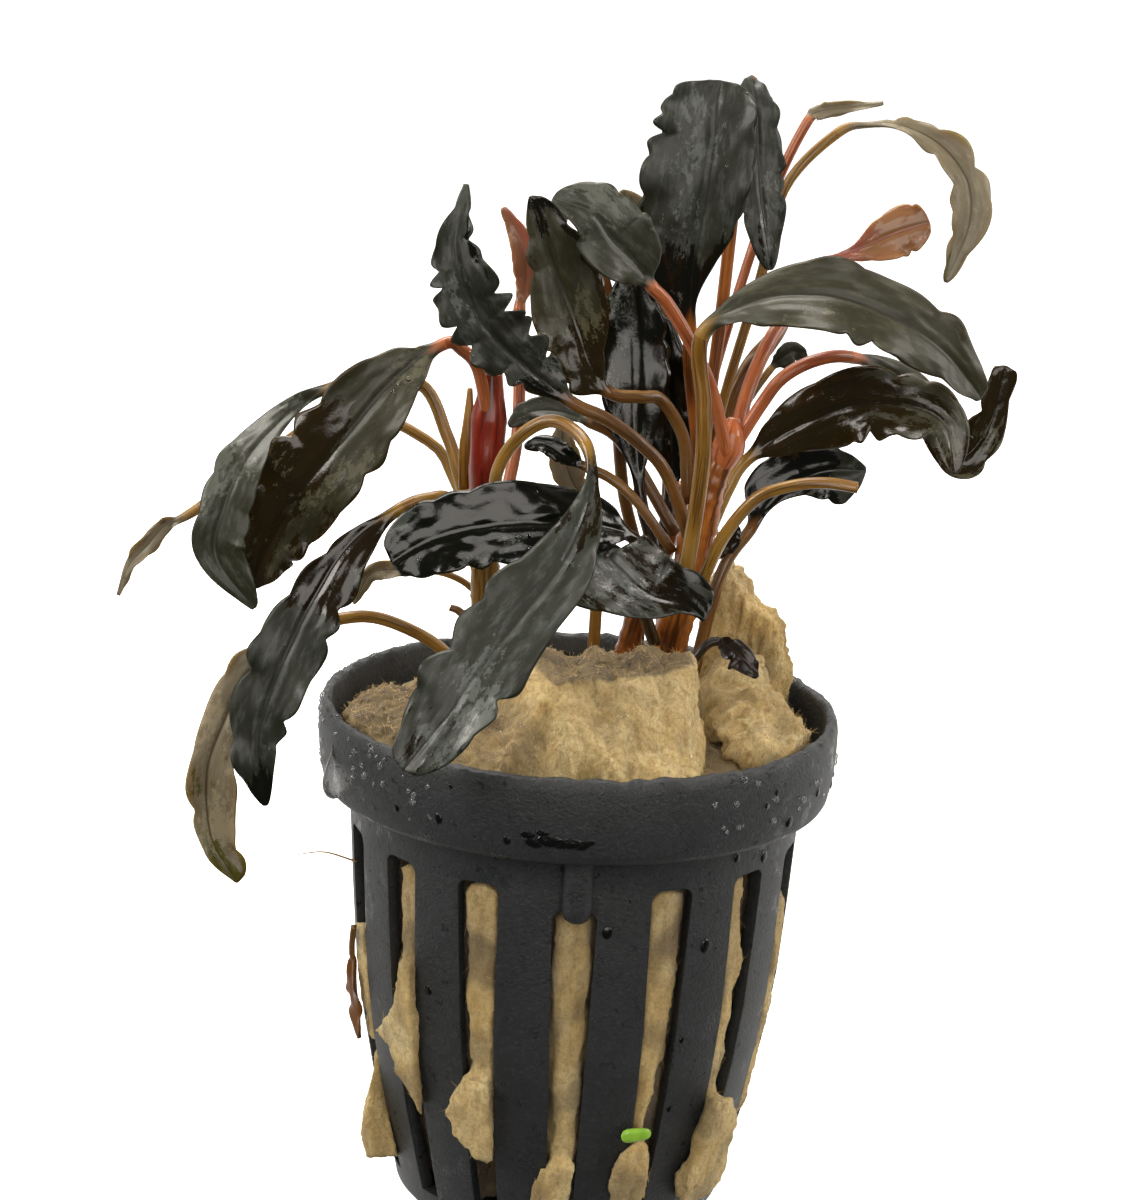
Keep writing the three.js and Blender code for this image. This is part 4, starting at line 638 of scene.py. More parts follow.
# %% Upper and top leaves
upper_leaves = {
    "upper_ruffled": dict(
        stalk=[[9.8, -0.8, 66.2], [7.2, -2.8, 72.9], [4.5, -3.6, 76], [1.1, -4.4, 78.4],
               [-1.8, -5, 79.7]],
        blade=[[-5.8, -6, 82.6], [-9.5, -7, 86], [-11.9, -8, 90], [-13.1, -8, 94.1], [-12.4, -7, 99.5]],
        half=[3.2, 3.5], face=[[0, -1, 0.3], [0, -1, 0]], peak=[0.5, 0.4], full=[1.2, 0.9], look="dark",
        stem="brown", ruffle=(0.7, 0.8), lobes=(12, 10), scallop=(0.42, 0.42),
        film=[0.45, 0.5, 0.8, 1, 1, 1, 0.9], warm=[0.15], spots=[(0.72, 0.7, 0.2, 0.25, -0.8)]),
    "upper_red": dict(
        stalk=[[-8.6, 4.6, 66.2], [-7.4, 7.4, 73], [-7.4, 9.4, 80], [-7.7, 10, 86]],
        blade=[[-7.2, 10, 88.9], [-7.8, 10, 92.7], [-9.7, 10, 95.8]],
        half=[1, 0.9], face=[[0, -1, 0]], small=True, look="pink", stem="pink", ruffle=(0.15, 0.15),
        film=[0.3], warm=[0.5]),
    "upper_upright": dict(
        stalk=[[9.4, 4.2, 69.6], [8.8, 4.4, 75], [6.4, 3, 79], [4.3, 1.6, 79.5], [1.5, 0.6, 79.9]],
        blade=[[-0.4, 0, 82.5], [-2, 0, 86.3], [-3.5, 0, 89.8], [-5.1, -0.5, 93.6], [-6.7, -1, 98.1]],
        half=[3.8, 3.8], face=[[0, -1, 0]], peak=[0.33, 0.62], full=[0.8, 0.55], look="olive", stem="brown",
        ruffle=(0.45, 0.5), lobes=(6, 6), scallop=(0.28, 0.22), film=[0.15, 0.2, 0.25, 0.7, 0.75, 0.6, 0.3],
        warm=[0.5, 0.8, 0.8, 0.5, 0.4], spots=[(0.7, 0.9, 0.3, 0.15, -0.5)]),
    "upper_grey": dict(
        stalk=[[12.6, -1, 76.2], [10.9, -2.8, 81.1], [8.7, -4, 85.5], [6.3, -5, 89.3], [4.7, -6, 91]],
        blade=[[3.2, -6.8, 93], [0.9, -7.4, 95.2], [-1, -8, 97.5], [-4.6, -8.6, 98.7]],
        half=[3, 3.5], face=[[0, -1, 0.4]], peak=0.5, full=[0.85, 0.6], look="grey", stem="pink",
        ruffle=(0.2, 0.25), lobes=(6, 6), scallop=(0.06, 0.1), film=[1], warm=[0.4],
        foot=[12.9, 0.7, 74.2]),
    "upper_pale": dict(
        stalk=[[7.8, 12, 65], [7.6, 12.4, 76], [6.8, 12, 84], [5.8, 12, 89.3]],
        blade=[[4.6, 12, 92.6], [3, 12, 95.6], [1.6, 12, 97.8]],
        half=[1.8, 1.8], face=[[0, -1, 0]], small=True, look="pale", stem="brown", ruffle=(0.3, 0.3),
        film=[0.6], warm=[0.6]),
    "top_broad": dict(
        stalk=[[10.8, 5, 70.6], [9.9, 5.9, 76], [8.9, 4.2, 82.1], [8.7, 2.6, 86]],
        blade=[[8.6, 1.4, 90.9], [9.1, 0.6, 96.6], [9.6, 0.6, 102.1], [9.8, 1.2, 106.6],
               [10.1, 2, 109.2]],
        half=[6, 4], face=[[-0.1, -1, 0]], peak=[0.5, 0.66], full=[0.5, 0.35], look="dark",
        stem="orange", ruffle=(0.35, 0.3), lobes=(9, 8), scallop=(0.19, 0.08),
        film=[0.05, 0.1, 0.5, 0.85, 1, 1, 1], warm=[0.1],
        spots=[(0.35, 0.25, 0.12, 0.3, 0.35), (0.4, -0.5, 0.3, 0.3, 0.15)]),
    "top_side": dict(
        stalk=[[10.8, 8.8, 70.6], [11.2, 8.6, 78], [11.9, 8.6, 88], [12.6, 8.2, 102.5],
               [13.2, 7, 108.7]],
        blade=[[13.6, 4.8, 107.6], [14, 4, 102.9], [14.8, 3.5, 97.4], [15.9, 3, 91.9]],
        half=[2.2, 2.5], face=[[0.3, -1, 0.3], [0.3, -1, 0]], full=0.6, look="dark", stem="orange",
        ruffle=(0.35, 0.35), lobes=(8, 8), scallop=(0.18, 0.2), film=[0.9, 0.9, 0.8, 0.6, 0.5],
        warm=[0.3, 0.4, 0.6]),
    "top_small": dict(
        stalk=[[9.8, 12, 69.4], [11.6, 12.4, 80], [15, 12.8, 94], [17.2, 13.4, 100.6],
               [19.3, 13.6, 105.2]],
        blade=[[20.3, 13.6, 106.1], [22.9, 13.6, 106.6], [26.4, 13.6, 107.2]],
        half=[0.5, 0.7], face=[[0, -1, 0.4]], peak=0.3, radius=0.5, small=True, look="pale", stem="pink",
        ruffle=(0.15, 0.15), film=[1], warm=[0]),
    "arching": dict(
        stalk=[[11.4, 10.4, 70.4], [12.8, 9.8, 79], [15.4, 9.8, 90], [17.2, 10, 98.9],
               [21.9, 10, 104.4]],
        blade=[[25.2, 10, 105.5], [28.6, 10, 105.2], [31.9, 9, 103.6], [34.3, 8, 100.6],
               [34.7, 7, 96.6], [32.8, 6, 91.2]],
        half=[1.9, 1.9], face=[[0.2, -0.3, 1], [0.3, -1, 0.3], [-0.2, -1, 0]], peak=0.7, radius=0.5,
        look="pale", stem="ochre", ruffle=(0.45, 0.35), lobes=(8, 8), scallop=(0.44, 0.3),
        film=[1, 0.9, 0.7, 0.6], warm=[0.1, 0.2, 0.3, 0.5]),
}

# %% Right leaves
right_leaves = {
    "young_pink": dict(
        stalk=[[13.6, 3.8, 74.4], [14.6, 6.4, 79.3], [16.5, 9, 83.9], [18.7, 12, 87.2],
               [21.3, 14, 91.2]],
        blade=[[25.2, 15, 92.9], [28.6, 15, 94.6], [32, 15, 95.8]],
        half=[2.3, 2.3], face=[[0, -1, 0.3]], peak=[0.8, 0.7], full=0.5, radius=0.7, look="pink",
        stem="pink", ruffle=(0.35, 0.3), lobes=(5, 5), scallop=(0.1, 0.14), film=[0.3],
        warm=[0.1, 0.4, 0.8, 1]),
    "right_grey": dict(
        stalk=[[9.2, 0.2, 60.4], [9.8, -2.9, 67], [10.3, -5, 74.8], [10, -6.8, 80.4], [9.4, -9, 87.2]],
        blade=[[13.9, -10, 90.7], [20, -11, 91.6], [25.5, -11, 90.2], [30.8, -10, 87.1],
               [35, -8, 82.6]],
        half=[3.3, 3.9], face=[[0, -1, 0.8], [0, -1, 0.6]], peak=[0.55, 0.48], full=[0.5, 0.65],
        radius=0.75, look="olive", stem="ochre", ruffle=(0.5, 0.45), lobes=(6, 7), scallop=(0.15, 0.2),
        film=[1, 1, 0.95, 0.95, 0.9, 1], warm=[0.2], slot="leaf_grey"),
    "right_folded": dict(
        stalk=[[12.2, 4.2, 67.4], [13.4, 5, 70.4], [14.9, 5.6, 73]],
        blade=[[18.9, 5, 76.4], [24.3, 3.4, 79.4], [28.9, 2, 80], [33, 1, 78.5], [34.4, 0, 73.9]],
        half=[3.2, 3.6], face=[[0, -1, 0.3], [0.2, -1, 0.2]], peak=0.45, full=0.6, look="olive",
        stem="ochre", ruffle=(0.6, 0.5), lobes=(6, 6), scallop=(0.2, 0.24),
        film=[0.35, 0.25, 0.3, 0.5, 0.6, 0.5], warm=[0.6, 0.9, 0.9, 0.8, 0.7]),
    "right_curl": dict(
        stalk=[[14.9, 1.6, 77], [15.8, 1.4, 79.4], [17.6, 1, 82.1], [20.6, 1.6, 83.8], [24, 3.4, 84]],
        blade=[[28.6, 6.4, 82.2], [32.8, 6.6, 78.6], [35.7, 6.6, 74.3], [38.2, 6.6, 77.7],
               [39.3, 6.6, 83.4]],
        half=[2, 2], face=[[0, -1, 0.6], [0, -1, 0]], full=0.25, look="olive", stem="pink",
        ruffle=(0.6, 0.6), lobes=(7, 7), scallop=(0.34, 0.34), film=[0.8, 0.8, 0.5, 0.3, 0.2],
        warm=[0.5, 0.6, 0.8, 0.9], foot=[13.4, 1.4, 75.0]),
    "right_black": dict(
        stalk=[[10.8, 8.2, 48.2], [13.2, 8.4, 60.4], [16, 10.4, 65]],
        blade=[[19.1, 12, 68.8], [22.3, 12, 70.8], [24.9, 12, 71.4], [27.3, 12, 71.5]],
        half=[3.4, 3.2], face=[[0, -1, 0.4], [0, -1, 0]], peak=[0.3, 0.7], full=0.8, look="dark",
        stem="brown", ruffle=(0.35, 0.4), lobes=(5, 5), scallop=(0.14, 0.14),
        film=[0.1, 0.15, 0.2, 0.3, 0.9, 1], warm=[0.2]),
    "right_small": dict(
        stalk=[[8.6, 10.8, 55.6], [11, 9.8, 59.6], [12.2, 8.6, 61.9]],
        blade=[[13.2, 7, 64], [14, 7, 65.2], [14.8, 7, 66.2]],
        half=[1.1, 1.1], face=[[0, -1, 0]], radius=0.4, small=True, look="dark", stem="brown",
        ruffle=(0.15, 0.15), film=[0.3], warm=[0.5]),
}

# %% Small leaves in the middle
middle_leaves = {
    "small_grey": dict(
        stalk=[[9.8, 12, 66], [12.6, 14, 72.4], [15.4, 14.4, 77.6], [17.3, 14.6, 80.6]],
        blade=[[18.4, 14.6, 81.8], [19.6, 14.6, 82.6], [20.9, 14.6, 81.6]],
        half=[1, 1.2], face=[[0, -1, 0]], radius=0.4, small=True, look="grey", stem="ochre",
        ruffle=(0.15, 0.15), film=[1], warm=[0.4]),
    "centre_black": dict(
        stalk=[[7.2, 3.8, 62], [5.9, 4, 66], [4.9, 4.6, 69.4]],
        blade=[[4.2, 5.2, 75.5], [4, 5.8, 81.5], [3.6, 6, 86], [2.9, 6, 91.2]], fold=8,
        half=[3.6, 3], face=[[0, -1, 0]], full=0.6, peak=0.56, small=True, look="dark", stem="dark",
        ruffle=(0.4, 0.4), film=[0.15, 0.2, 0.3], warm=[0.2]),
    "centre_side": dict(
        stalk=[[6.2, 7.4, 59], [7.2, 8, 64], [7.9, 8.4, 68.6]],
        blade=[[7.7, 8.6, 74.3], [7, 8.4, 80.2], [6.2, 8.4, 86.2]],
        half=[2.4, 2.3], face=[[0, -1, 0]], full=0.6, small=True, look="dark", stem="dark",
        ruffle=(0.4, 0.4), film=[0.1, 0.15, 0.25], warm=[0.2]),
    "centre_brown": dict(
        stalk=[[5.2, 11, 62], [3.4, 11, 68], [2.4, 11, 75], [1.6, 11, 80]],
        blade=[[0.5, 11, 84.4], [-0.3, 11, 88.7], [-1.5, 11, 91.8]],
        half=[1.2, 1.3], face=[[0, -1, 0]], small=True, look="brown", stem="brown", ruffle=(0.3, 0.3),
        film=[0.3], warm=[0.6]),
    "centre_small": dict(
        stalk=[[7.8, 1.4, 65.2], [4.6, 1.2, 69.4], [1.9, 1.2, 71.6], [-0.6, 0.8, 72.7]],
        blade=[[-2.5, 0, 73.9], [-4.4, 0, 74.8], [-6.4, 0, 74.5]],
        half=[0.9, 0.9], face=[[0, -1, 0.4]], radius=0.5, small=True, look="dark", stem="brown",
        ruffle=(0.15, 0.15), film=[0.3], warm=[0.3]),
    "centre_pale": dict(
        stalk=[[1, 8.6, 48.2], [1.2, 8.6, 57], [0.8, 8.8, 63], [0.1, 9, 66.7]],
        blade=[[-1.8, 9, 69.6], [-2.8, 9, 72.6], [-3, 9, 75.4]],
        half=[1.4, 1.4], face=[[0, -1, 0]], small=True, look="pale", stem="ochre", ruffle=(0.2, 0.2),
        film=[0.6], warm=[0.5]),
    "centre_edge": dict(
        stalk=[[8.2, 5.8, 66], [5, 6.8, 71], [2.4, 6.4, 74.6], [-0.3, 5.2, 76.2]],
        blade=[[-3.2, 5, 77.1], [-6.1, 5, 76.9], [-8.1, 4.4, 75.6]],
        half=[1.1, 1.1], face=[[0, -0.8, 0.6]], small=True, look="grey", stem="brown", ruffle=(0.15, 0.15),
        film=[0.7], warm=[0.5]),
}

# %% Grow every leaf
everything = {**left_leaves, **front_leaves, **upper_leaves, **right_leaves, **middle_leaves}
grown = {}
for number, (name, spec) in enumerate(everything.items()):
    usual_slot = "dead_brown" if spec["look"] == "brown" else "leaf_" + spec["look"]
    grown[name] = grow_leaf("fine_leaf_" + name, seed=number, node="leaf_" + name,
                            **{"slot": usual_slot, **spec})
print("leaves:", len(grown), "faces:", sum(len(g.data.polygons) for g in grown.values()))

# %% [markdown]
# ## Stems, sheaths and leftover stalks
# The stems are round and knobbly, with the rings that fallen leaves leave behind. They are made as
# rings along a curve too, with a little swelling at each leaf scar.

# %% Grow the stems
def grow_stem(name, points, radii, look, node, slot, sides=24, rings=60, scars=0.0, knobs=0.06, squash=1.0,
              seed=0):
    """A round stem through the points, with swollen leaf scars every few millimetres."""
    t = np.linspace(0, 1, rings)
    place, across, out, length = frames_along(points, [[0.2, -1, 0.1]], t, t)
    radius = read_at(radii, t)[:, 0]
    radius = radius * (1 + scars * np.cos(2 * math.pi * length / 3.1 + seed) ** 16)
    angle = np.linspace(0, 2 * math.pi, sides, endpoint=False)
    around = np.stack([np.cos(angle) * 2, np.sin(angle) * 2], axis=1)
    grid = np.concatenate([np.repeat(length[:, None, None] / 3, sides, axis=1),
                           np.repeat(around[None], rings, axis=0)], axis=2)
    swell = 1 + knobs * waves(grid.reshape(-1, 3), 2.2, seed).reshape(rings, sides)
    spoke = (np.cos(angle)[None, :, None] * across[:, None, :]
             + squash * np.sin(angle)[None, :, None] * out[:, None, :])
    verts = place[:, None, :] + spoke * (radius[:, None] * swell)[..., None]
    values = {"along_mm": np.repeat(length, sides), "around": np.tile(np.abs(angle - math.pi), rings)}
    return make_piece(name, verts.reshape(-1, 3), ring_faces(rings, sides), [stalk_looks[look]], None, values,
                      stands_for=node)


stems = {
    "stem_left": dict(points=[[-9.4, 3.5, 45], [-9.6, 3.2, 52], [-9.7, 3, 60], [-10, 2.8, 68.2]],
                      radii=[1.2, 1.3, 1.35, 1.2], look="ochre", slot="stalk_ochre", scars=0.12),
    "stem_main": dict(points=[[6.5, 7.5, 44], [8.2, 5.5, 53], [9.9, 2.6, 62], [11, 1.6, 69], [12.7, 1.4, 75]],
                      radii=[1.6, 1.8, 1.9, 1.5, 1.1], look="orange", slot="stalk_ochre", scars=0.12),
    "stem_back": dict(points=[[3.4, 10.6, 44], [5, 10.4, 54], [7.6, 10, 63], [9.4, 10, 69.6]],
                      radii=[1.2, 1.2, 1.1, 0.9], look="orange", slot="stalk_ochre", scars=0.12),
    "sheath_left": dict(points=[[-10, 2.7, 66.6], [-10.1, 2.4, 71.6], [-9.9, 2.4, 76.5], [-9.8, 2.4, 81]],
                        radii=[1.15, 1.7, 1.7, 1], look="red", slot="sheath_red", knobs=0.04),
    "sheath_right": dict(points=[[12.2, 1.4, 73], [12.9, 1.2, 75], [13.1, 1.2, 76.6], [13.3, 1.4, 78]],
                         radii=[1.0, 1.5, 1.35, 0.5], look="pink", slot="sheath_red", knobs=0.04, rings=24),
    "bract_left": dict(points=[[-12, 3.8, 69.4], [-11.9, 3.6, 74], [-11.9, 3.6, 79.2]],
                       radii=[0.7, 0.8, 0.25], look="ochre", slot="stalk_ochre", rings=30, squash=0.6),
    "stub_cut": dict(points=[[11.2, -0.6, 62.6], [12.8, -3, 67.4], [15.4, -4, 71.3], [18.5, -4.6, 72.9],
                             [21.7, -4.8, 73.4], [24.8, -4.8, 73.1]],
                     radii=[0.6, 0.55, 0.55], look="ochre", slot="stalk_ochre"),
    "stub_curled": dict(points=[[11.6, 11.8, 70.4], [13, 11.7, 76], [14.9, 11.8, 80.9], [16.8, 12.2, 83.5],
                                [18, 13.4, 85], [18.4, 14.4, 85.9]],
                        radii=[0.8, 0.9, 0.5], look="brown", slot="dead_brown"),
    "stub_hook": dict(points=[[-10, 11, 48.2], [-11.5, 10, 54.1], [-12.4, 10, 55.4], [-13.4, 10, 55.8]],
                      radii=[0.5, 0.45, 0.35], look="brown", slot="dead_brown"),
}
for number, (name, spec) in enumerate(stems.items()):
    grown[name] = grow_stem("fine_" + name, node=name, seed=number, **spec)
grown["dead_scrap"] = grow_leaf(
    "fine_dead_scrap", stalk=[[10.6, -4.4, 55.4], [11.6, -4.4, 57], [12.8, -4.4, 57.6]],
    blade=[[13.8, -4.8, 57.2], [15.4, -5.6, 56.2], [16.6, -6.4, 54.8]], half=[1, 1.5], face=[[0, -1, 0.6]],
    radius=0.45, look="brown", stem="dark", ruffle=(0.4, 0.5), lobes=(3, 3), scallop=(0.4, 0.5),
    pucker=0.22, film=[0.2], warm=[0.1], slot="dead_brown", node="dead_scrap")
grown["dead_leaf_slot"] = grow_leaf(
    "fine_dead_leaf_slot", stalk=[[-20.7, -6.9, 27.4], [-20.8, -6.6, 26.2], [-20.8, -6.4, 25]],
    blade=[[-20.7, -6.4, 22.4], [-20.4, -6.4, 19.2], [-19.9, -6.6, 16.2]], half=[1, 1],
    face=[[-0.9, -0.8, 0]], radius=0.3, small=True, look="brown", stem="brown", film=[0.1], warm=[1.2],
    ruffle=(0.2, 0.2), slot="dead_brown", node="dead_leaf_slot")
print("pieces so far:", len(grown))

# %% [markdown]
# ## Pot finish
# The pot is a net pot moulded in black polypropylene. Moulded black plastic isn't black to the
# eye: it is a dark slate grey with a soft gloss, fine pits and specks, and where water lies on it
# the gloss is sharp. The pits are drawn at 0.3 to 1 mm, as they are on the real one, and painted
# near black inside as painted shade.

# %% Black polypropylene
pot_plastic, mm = new_material("moulded_polypropylene_black")
haze = layer(pot_plastic, "ShaderNodeTexNoise", {0: mm, 2: 0.25, 3: 4.0, 4: 0.6})
specks = layer(pot_plastic, "ShaderNodeTexNoise", {0: mm, 2: 0.9, 3: 5.0, 4: 0.7})
pit_shade = layer(pot_plastic, "ShaderNodeMapRange", {0: specks, 1: 0.63, 2: 0.67}, **SOFT)
tone = layer(pot_plastic, "ShaderNodeMix", {0: haze, 6: linear("#16181a"), 7: linear("#2a2d2f")}, COLOUR_OUT,
             **COLOURS)
scuffs = layer(pot_plastic, "ShaderNodeTexNoise", {0: mm, 2: 1.9, 3: 6.0, 4: 0.75})
scuffs = layer(pot_plastic, "ShaderNodeMapRange", {0: scuffs, 1: 0.5, 2: 0.7, 4: 0.5}, **SOFT)
tone = layer(pot_plastic, "ShaderNodeMix", {0: scuffs, 6: tone, 7: linear("#3c4042")}, COLOUR_OUT, **COLOURS)
# Painted shade: the pits that the bump below dents are painted near black
tone = layer(pot_plastic, "ShaderNodeMix", {0: pit_shade, 6: tone, 7: linear("#040404")}, COLOUR_OUT, **COLOURS)
damp = layer(pot_plastic, "ShaderNodeTexNoise", {0: mm, 2: 0.35, 3: 4.0, 4: 0.65})
damp = layer(pot_plastic, "ShaderNodeMapRange", {0: damp, 1: 0.56, 2: 0.66}, **SOFT)
rough = layer(pot_plastic, "ShaderNodeMapRange", {0: damp, 3: 0.46, 4: 0.22})
pits = layer(pot_plastic, "ShaderNodeMapRange", {0: specks, 1: 0.62, 2: 0.68, 3: 1.0, 4: 0.0}, **SOFT)
grain = layer(pot_plastic, "ShaderNodeTexNoise", {0: mm, 2: 3.2, 3: 4.0, 4: 0.65})
normal = layer(pot_plastic, "ShaderNodeBump", {"Height": pits, "Distance": 0.3 * MM, "Strength": 1.0})
normal = layer(pot_plastic, "ShaderNodeBump",
               {"Height": grain, "Distance": 0.14 * MM, "Strength": 0.9, "Normal": normal})
layer(pot_plastic, SHADER, {"Base Color": tone, "Roughness": rough, "Normal": normal, "IOR": 1.49})
print("nodes in the pot's finish:", len(pot_plastic.node_tree.nodes))

# %% [markdown]
# ## The pot
# A net pot is a thin cup with a wide collar and fifteen slots. Its wall is a profile turned
# round the axis, and the slots are cut out of it with one boolean, as a mould leaves them. A small
# bevel then rounds every cut edge, because a moulded edge always catches a thin line of light.

# %% Turn the wall
TURN_STEPS = 300
# As (radius, height) in mm: up the outside of the wall, then down its inside
wall_outside = [(15.2, 0), (15.9, 0.12), (16.3, 0.6), (16.5, 1.6), (17.6, 6), (19, 12), (20.1, 18),
                (20.9, 24), (21.4, 31), (21.8, 38), (21.9, 40.6), (22.2, 41.1), (23, 41.5), (24, 41.75),
                (24.35, 41.95), (24.55, 42.3), (24.75, 43.2), (25, 45), (25.1, 46.5), (25.1, 48.6),
                (25, 49.4), (24.85, 49.8), (24.6, 49.98)]
wall_inside = [(24.2, 49.98), (23.95, 49.8), (23.8, 49.4), (23.5, 47), (23, 43.2), (22.2, 42.2), (20.9, 41.0),
               (20.7, 40.2), (20.3, 32), (19.8, 24), (17.9, 12), (15.2, 2.0), (14.4, 1.4)]


def turned(profile, count):
    """Rings of a closed shape turned round the pot's axis, in millimetres."""
    angle = np.linspace(0, 2 * math.pi, count, endpoint=False)
    radius, height = np.array(profile, float).T
    ring = np.stack([np.sin(angle), -np.cos(angle)], axis=1)
    flat = radius[:, None, None] * ring[None]
    return np.concatenate([flat, np.repeat(height[:, None, None], count, axis=1)], axis=2).reshape(-1, 3)


profile = wall_outside + wall_inside
wall = turned(profile, TURN_STEPS)
# The rim's edge is a little worn and wavy
WORN_ABOVE = 49.2
worn = wall[:, 2] > WORN_ABOVE
wall[worn, 2] += 0.08 * waves(wall[worn], 2.4, 3) + 0.09 * waves(wall[worn], 1.3, 4) - 0.14
pot = make_piece("fine_pot", wall, ring_faces(len(profile), TURN_STEPS), [pot_plastic], stands_for="pot")
print("pot wall:", len(pot.data.vertices), "points")

# %% Cut the slots
# How far the front slot is turned, in degrees; then, in mm, how high the slots reach and how far
# from the axis the cutting shapes start and end
SLOTS = 15
SLOT_TURN = 1.5
SLOT_TOP, FRONT_SLOT_TOP = 38.2, 36.4
CUT_FROM, CUT_TO = 12.0, 30.0


def slot_shape(top_z, low_z=2.6, top_w=4.1, low_w=2.4, corner=1.0, steps_round=5):
    """The outline of a slot: wider at the top, with rounded top corners."""
    outline = [(-low_w / 2, low_z), (low_w / 2, low_z)]
    for side, start in ((1, 0), (-1, 90)):
        for k in range(steps_round + 1):
            a = math.radians(start + 90 * k / steps_round)
            outline.append((side * (top_w / 2 - corner) + corner * math.cos(a),
                            top_z - corner + corner * math.sin(a)))
    return outline


cutter_verts, cutter_faces = [], []
for number in range(SLOTS):
    turn = 2 * math.pi * number / SLOTS + math.radians(SLOT_TURN)
    outline = slot_shape(FRONT_SLOT_TOP if number == 0 else SLOT_TOP)
    first = len(cutter_verts)
    for depth in (CUT_FROM, CUT_TO):
        for x, z in outline:
            cutter_verts.append((x * math.cos(turn) + depth * math.sin(turn),
                                 x * math.sin(turn) - depth * math.cos(turn), z))
    count = len(outline)
    cutter_faces.append(tuple(range(first, first + count)))
    cutter_faces.append(tuple(range(first + count, first + 2 * count))[::-1])
    for k in range(count):
        a, b = first + k, first + (k + 1) % count
        cutter_faces.append((b, a, a + count, b + count))
cutter_mesh = bpy.data.meshes.new("slot_cutter")
cutter_mesh.from_pydata([[c * MM for c in v] for v in cutter_verts], [], cutter_faces)
face_outwards(cutter_mesh)
cutter = add_object("slot_cutter", cutter_mesh)


def settle(piece):
    """Turns a piece's modifiers into its own mesh."""
    made = bpy.data.meshes.new_from_object(piece.evaluated_get(bpy.context.evaluated_depsgraph_get()))
    piece.modifiers.clear()
    piece.data = made
    return made


cut = pot.modifiers.new("slots", "BOOLEAN")
cut.object = cutter
cut.solver = "EXACT"
settle(pot)
bpy.data.objects.remove(cutter)
print("pot with slots:", len(pot.data.polygons), "faces")

# %% Round the cut edges
EDGE_ROUND = 0.16
edge = pot.modifiers.new("rounded_edges", "BEVEL")
edge.width = EDGE_ROUND * MM
edge.segments = 2
edge.limit_method = "ANGLE"
edge.angle_limit = math.radians(50)
edge.use_clamp_overlap = True
settle(pot)
pot.data.polygons.foreach_set("use_smooth", np.ones(len(pot.data.polygons), bool))
pot.data.set_sharp_from_angle(angle=math.radians(40))
print("pot with rounded edges:", len(pot.data.polygons), "faces")

# %% [markdown]
# ## Mould nub
# Under the collar, over the front slot, hangs a short rounded peg left by the mould. It is a
# half-round bar with a domed lower end, and its top runs into the collar.

# %% The nub
NUB_HALF_W, NUB_DEEP, NUB_AT_X, NUB_AT_Y = 1.35, 1.15, 0.7, -22.35
NUB_AROUND = 20
# As (height, share of the full size): it flares into the collar at the top and closes in a dome below
nub_levels = [(42.0, 1.2), (41.5, 1.04), (40.8, 1.0), (37.2, 1.0), (36.5, 0.95), (36.0, 0.8), (35.7, 0.5),
              (35.6, 0.12)]
nub_rows = []
for z, size in nub_levels:
    for k in range(NUB_AROUND):
        a = 2 * math.pi * k / NUB_AROUND
        nub_rows.append((NUB_AT_X + NUB_HALF_W * size * math.sin(a),
                         NUB_AT_Y - NUB_DEEP * size * math.cos(a), z))
nub = make_piece("fine_nub", nub_rows, ring_faces(len(nub_levels), NUB_AROUND), [pot_plastic])
print("nub:", len(nub.data.polygons), "faces")

# %% [markdown]
# ## Wool finish
# Rock wool is melted stone spun into threads a hundredth of a millimetre thick, far too fine to
# see one by one: wet, they clump into strands a tenth of a millimetre thick. The eye gets a warm tan
# felt, soft and matted, darker where it is soaked. In the slots the darkening is also painted shade,
# deep behind the wall, and the darker streaks and tufts lie in the hollows of the relief: partly the
# wool's own tone and partly painted shade. The felt is a rough material with a streaky relief; loose
# strands are added as real geometry, drawn 0.04 mm thick so that they show.

# %% Wet rock wool
wool_felt, mm = new_material("rock_wool_felt")
stretched = layer(wool_felt, "ShaderNodeMapping", {0: mm, 3: (1.0, 1.0, 0.4)})
soak_and_shade = layer(wool_felt, "ShaderNodeAttribute", {}, "Fac", attribute_name="soak_and_shade")
streaks = layer(wool_felt, "ShaderNodeTexNoise", {0: stretched, 2: 1.0, 3: 6.0, 4: 0.65})
clumps = layer(wool_felt, "ShaderNodeTexNoise", {0: mm, 2: 0.16, 3: 3.0})
clump_at = layer(wool_felt, "ShaderNodeMapRange", {0: clumps, 1: 0.35, 2: 0.65}, **SOFT)
tone = layer(wool_felt, "ShaderNodeMix", {0: clump_at, 6: linear("#e2c27c"), 7: linear("#f6dea2")},
             COLOUR_OUT, **COLOURS)
# Darker in the hollows that the bumps below raise from the same noises: partly the wool's own tone, partly
# painted shade
streak_hollow_shade = layer(wool_felt, "ShaderNodeMapRange", {0: streaks, 1: 0.52, 2: 0.3, 4: 0.6}, **SOFT)
tone = layer(wool_felt, "ShaderNodeMix", {0: streak_hollow_shade, 6: tone, 7: linear("#b49048")}, COLOUR_OUT, **COLOURS)
tufts = layer(wool_felt, "ShaderNodeTexNoise", {0: mm, 2: 2.2, 3: 8.0, 4: 0.8})
tuft_hollow_shade = layer(wool_felt, "ShaderNodeMapRange", {0: tufts, 1: 0.55, 2: 0.4, 4: 0.55}, **SOFT)
tone = layer(wool_felt, "ShaderNodeMix", {0: tuft_hollow_shade, 6: tone, 7: linear("#ae8a48")}, COLOUR_OUT, **COLOURS)
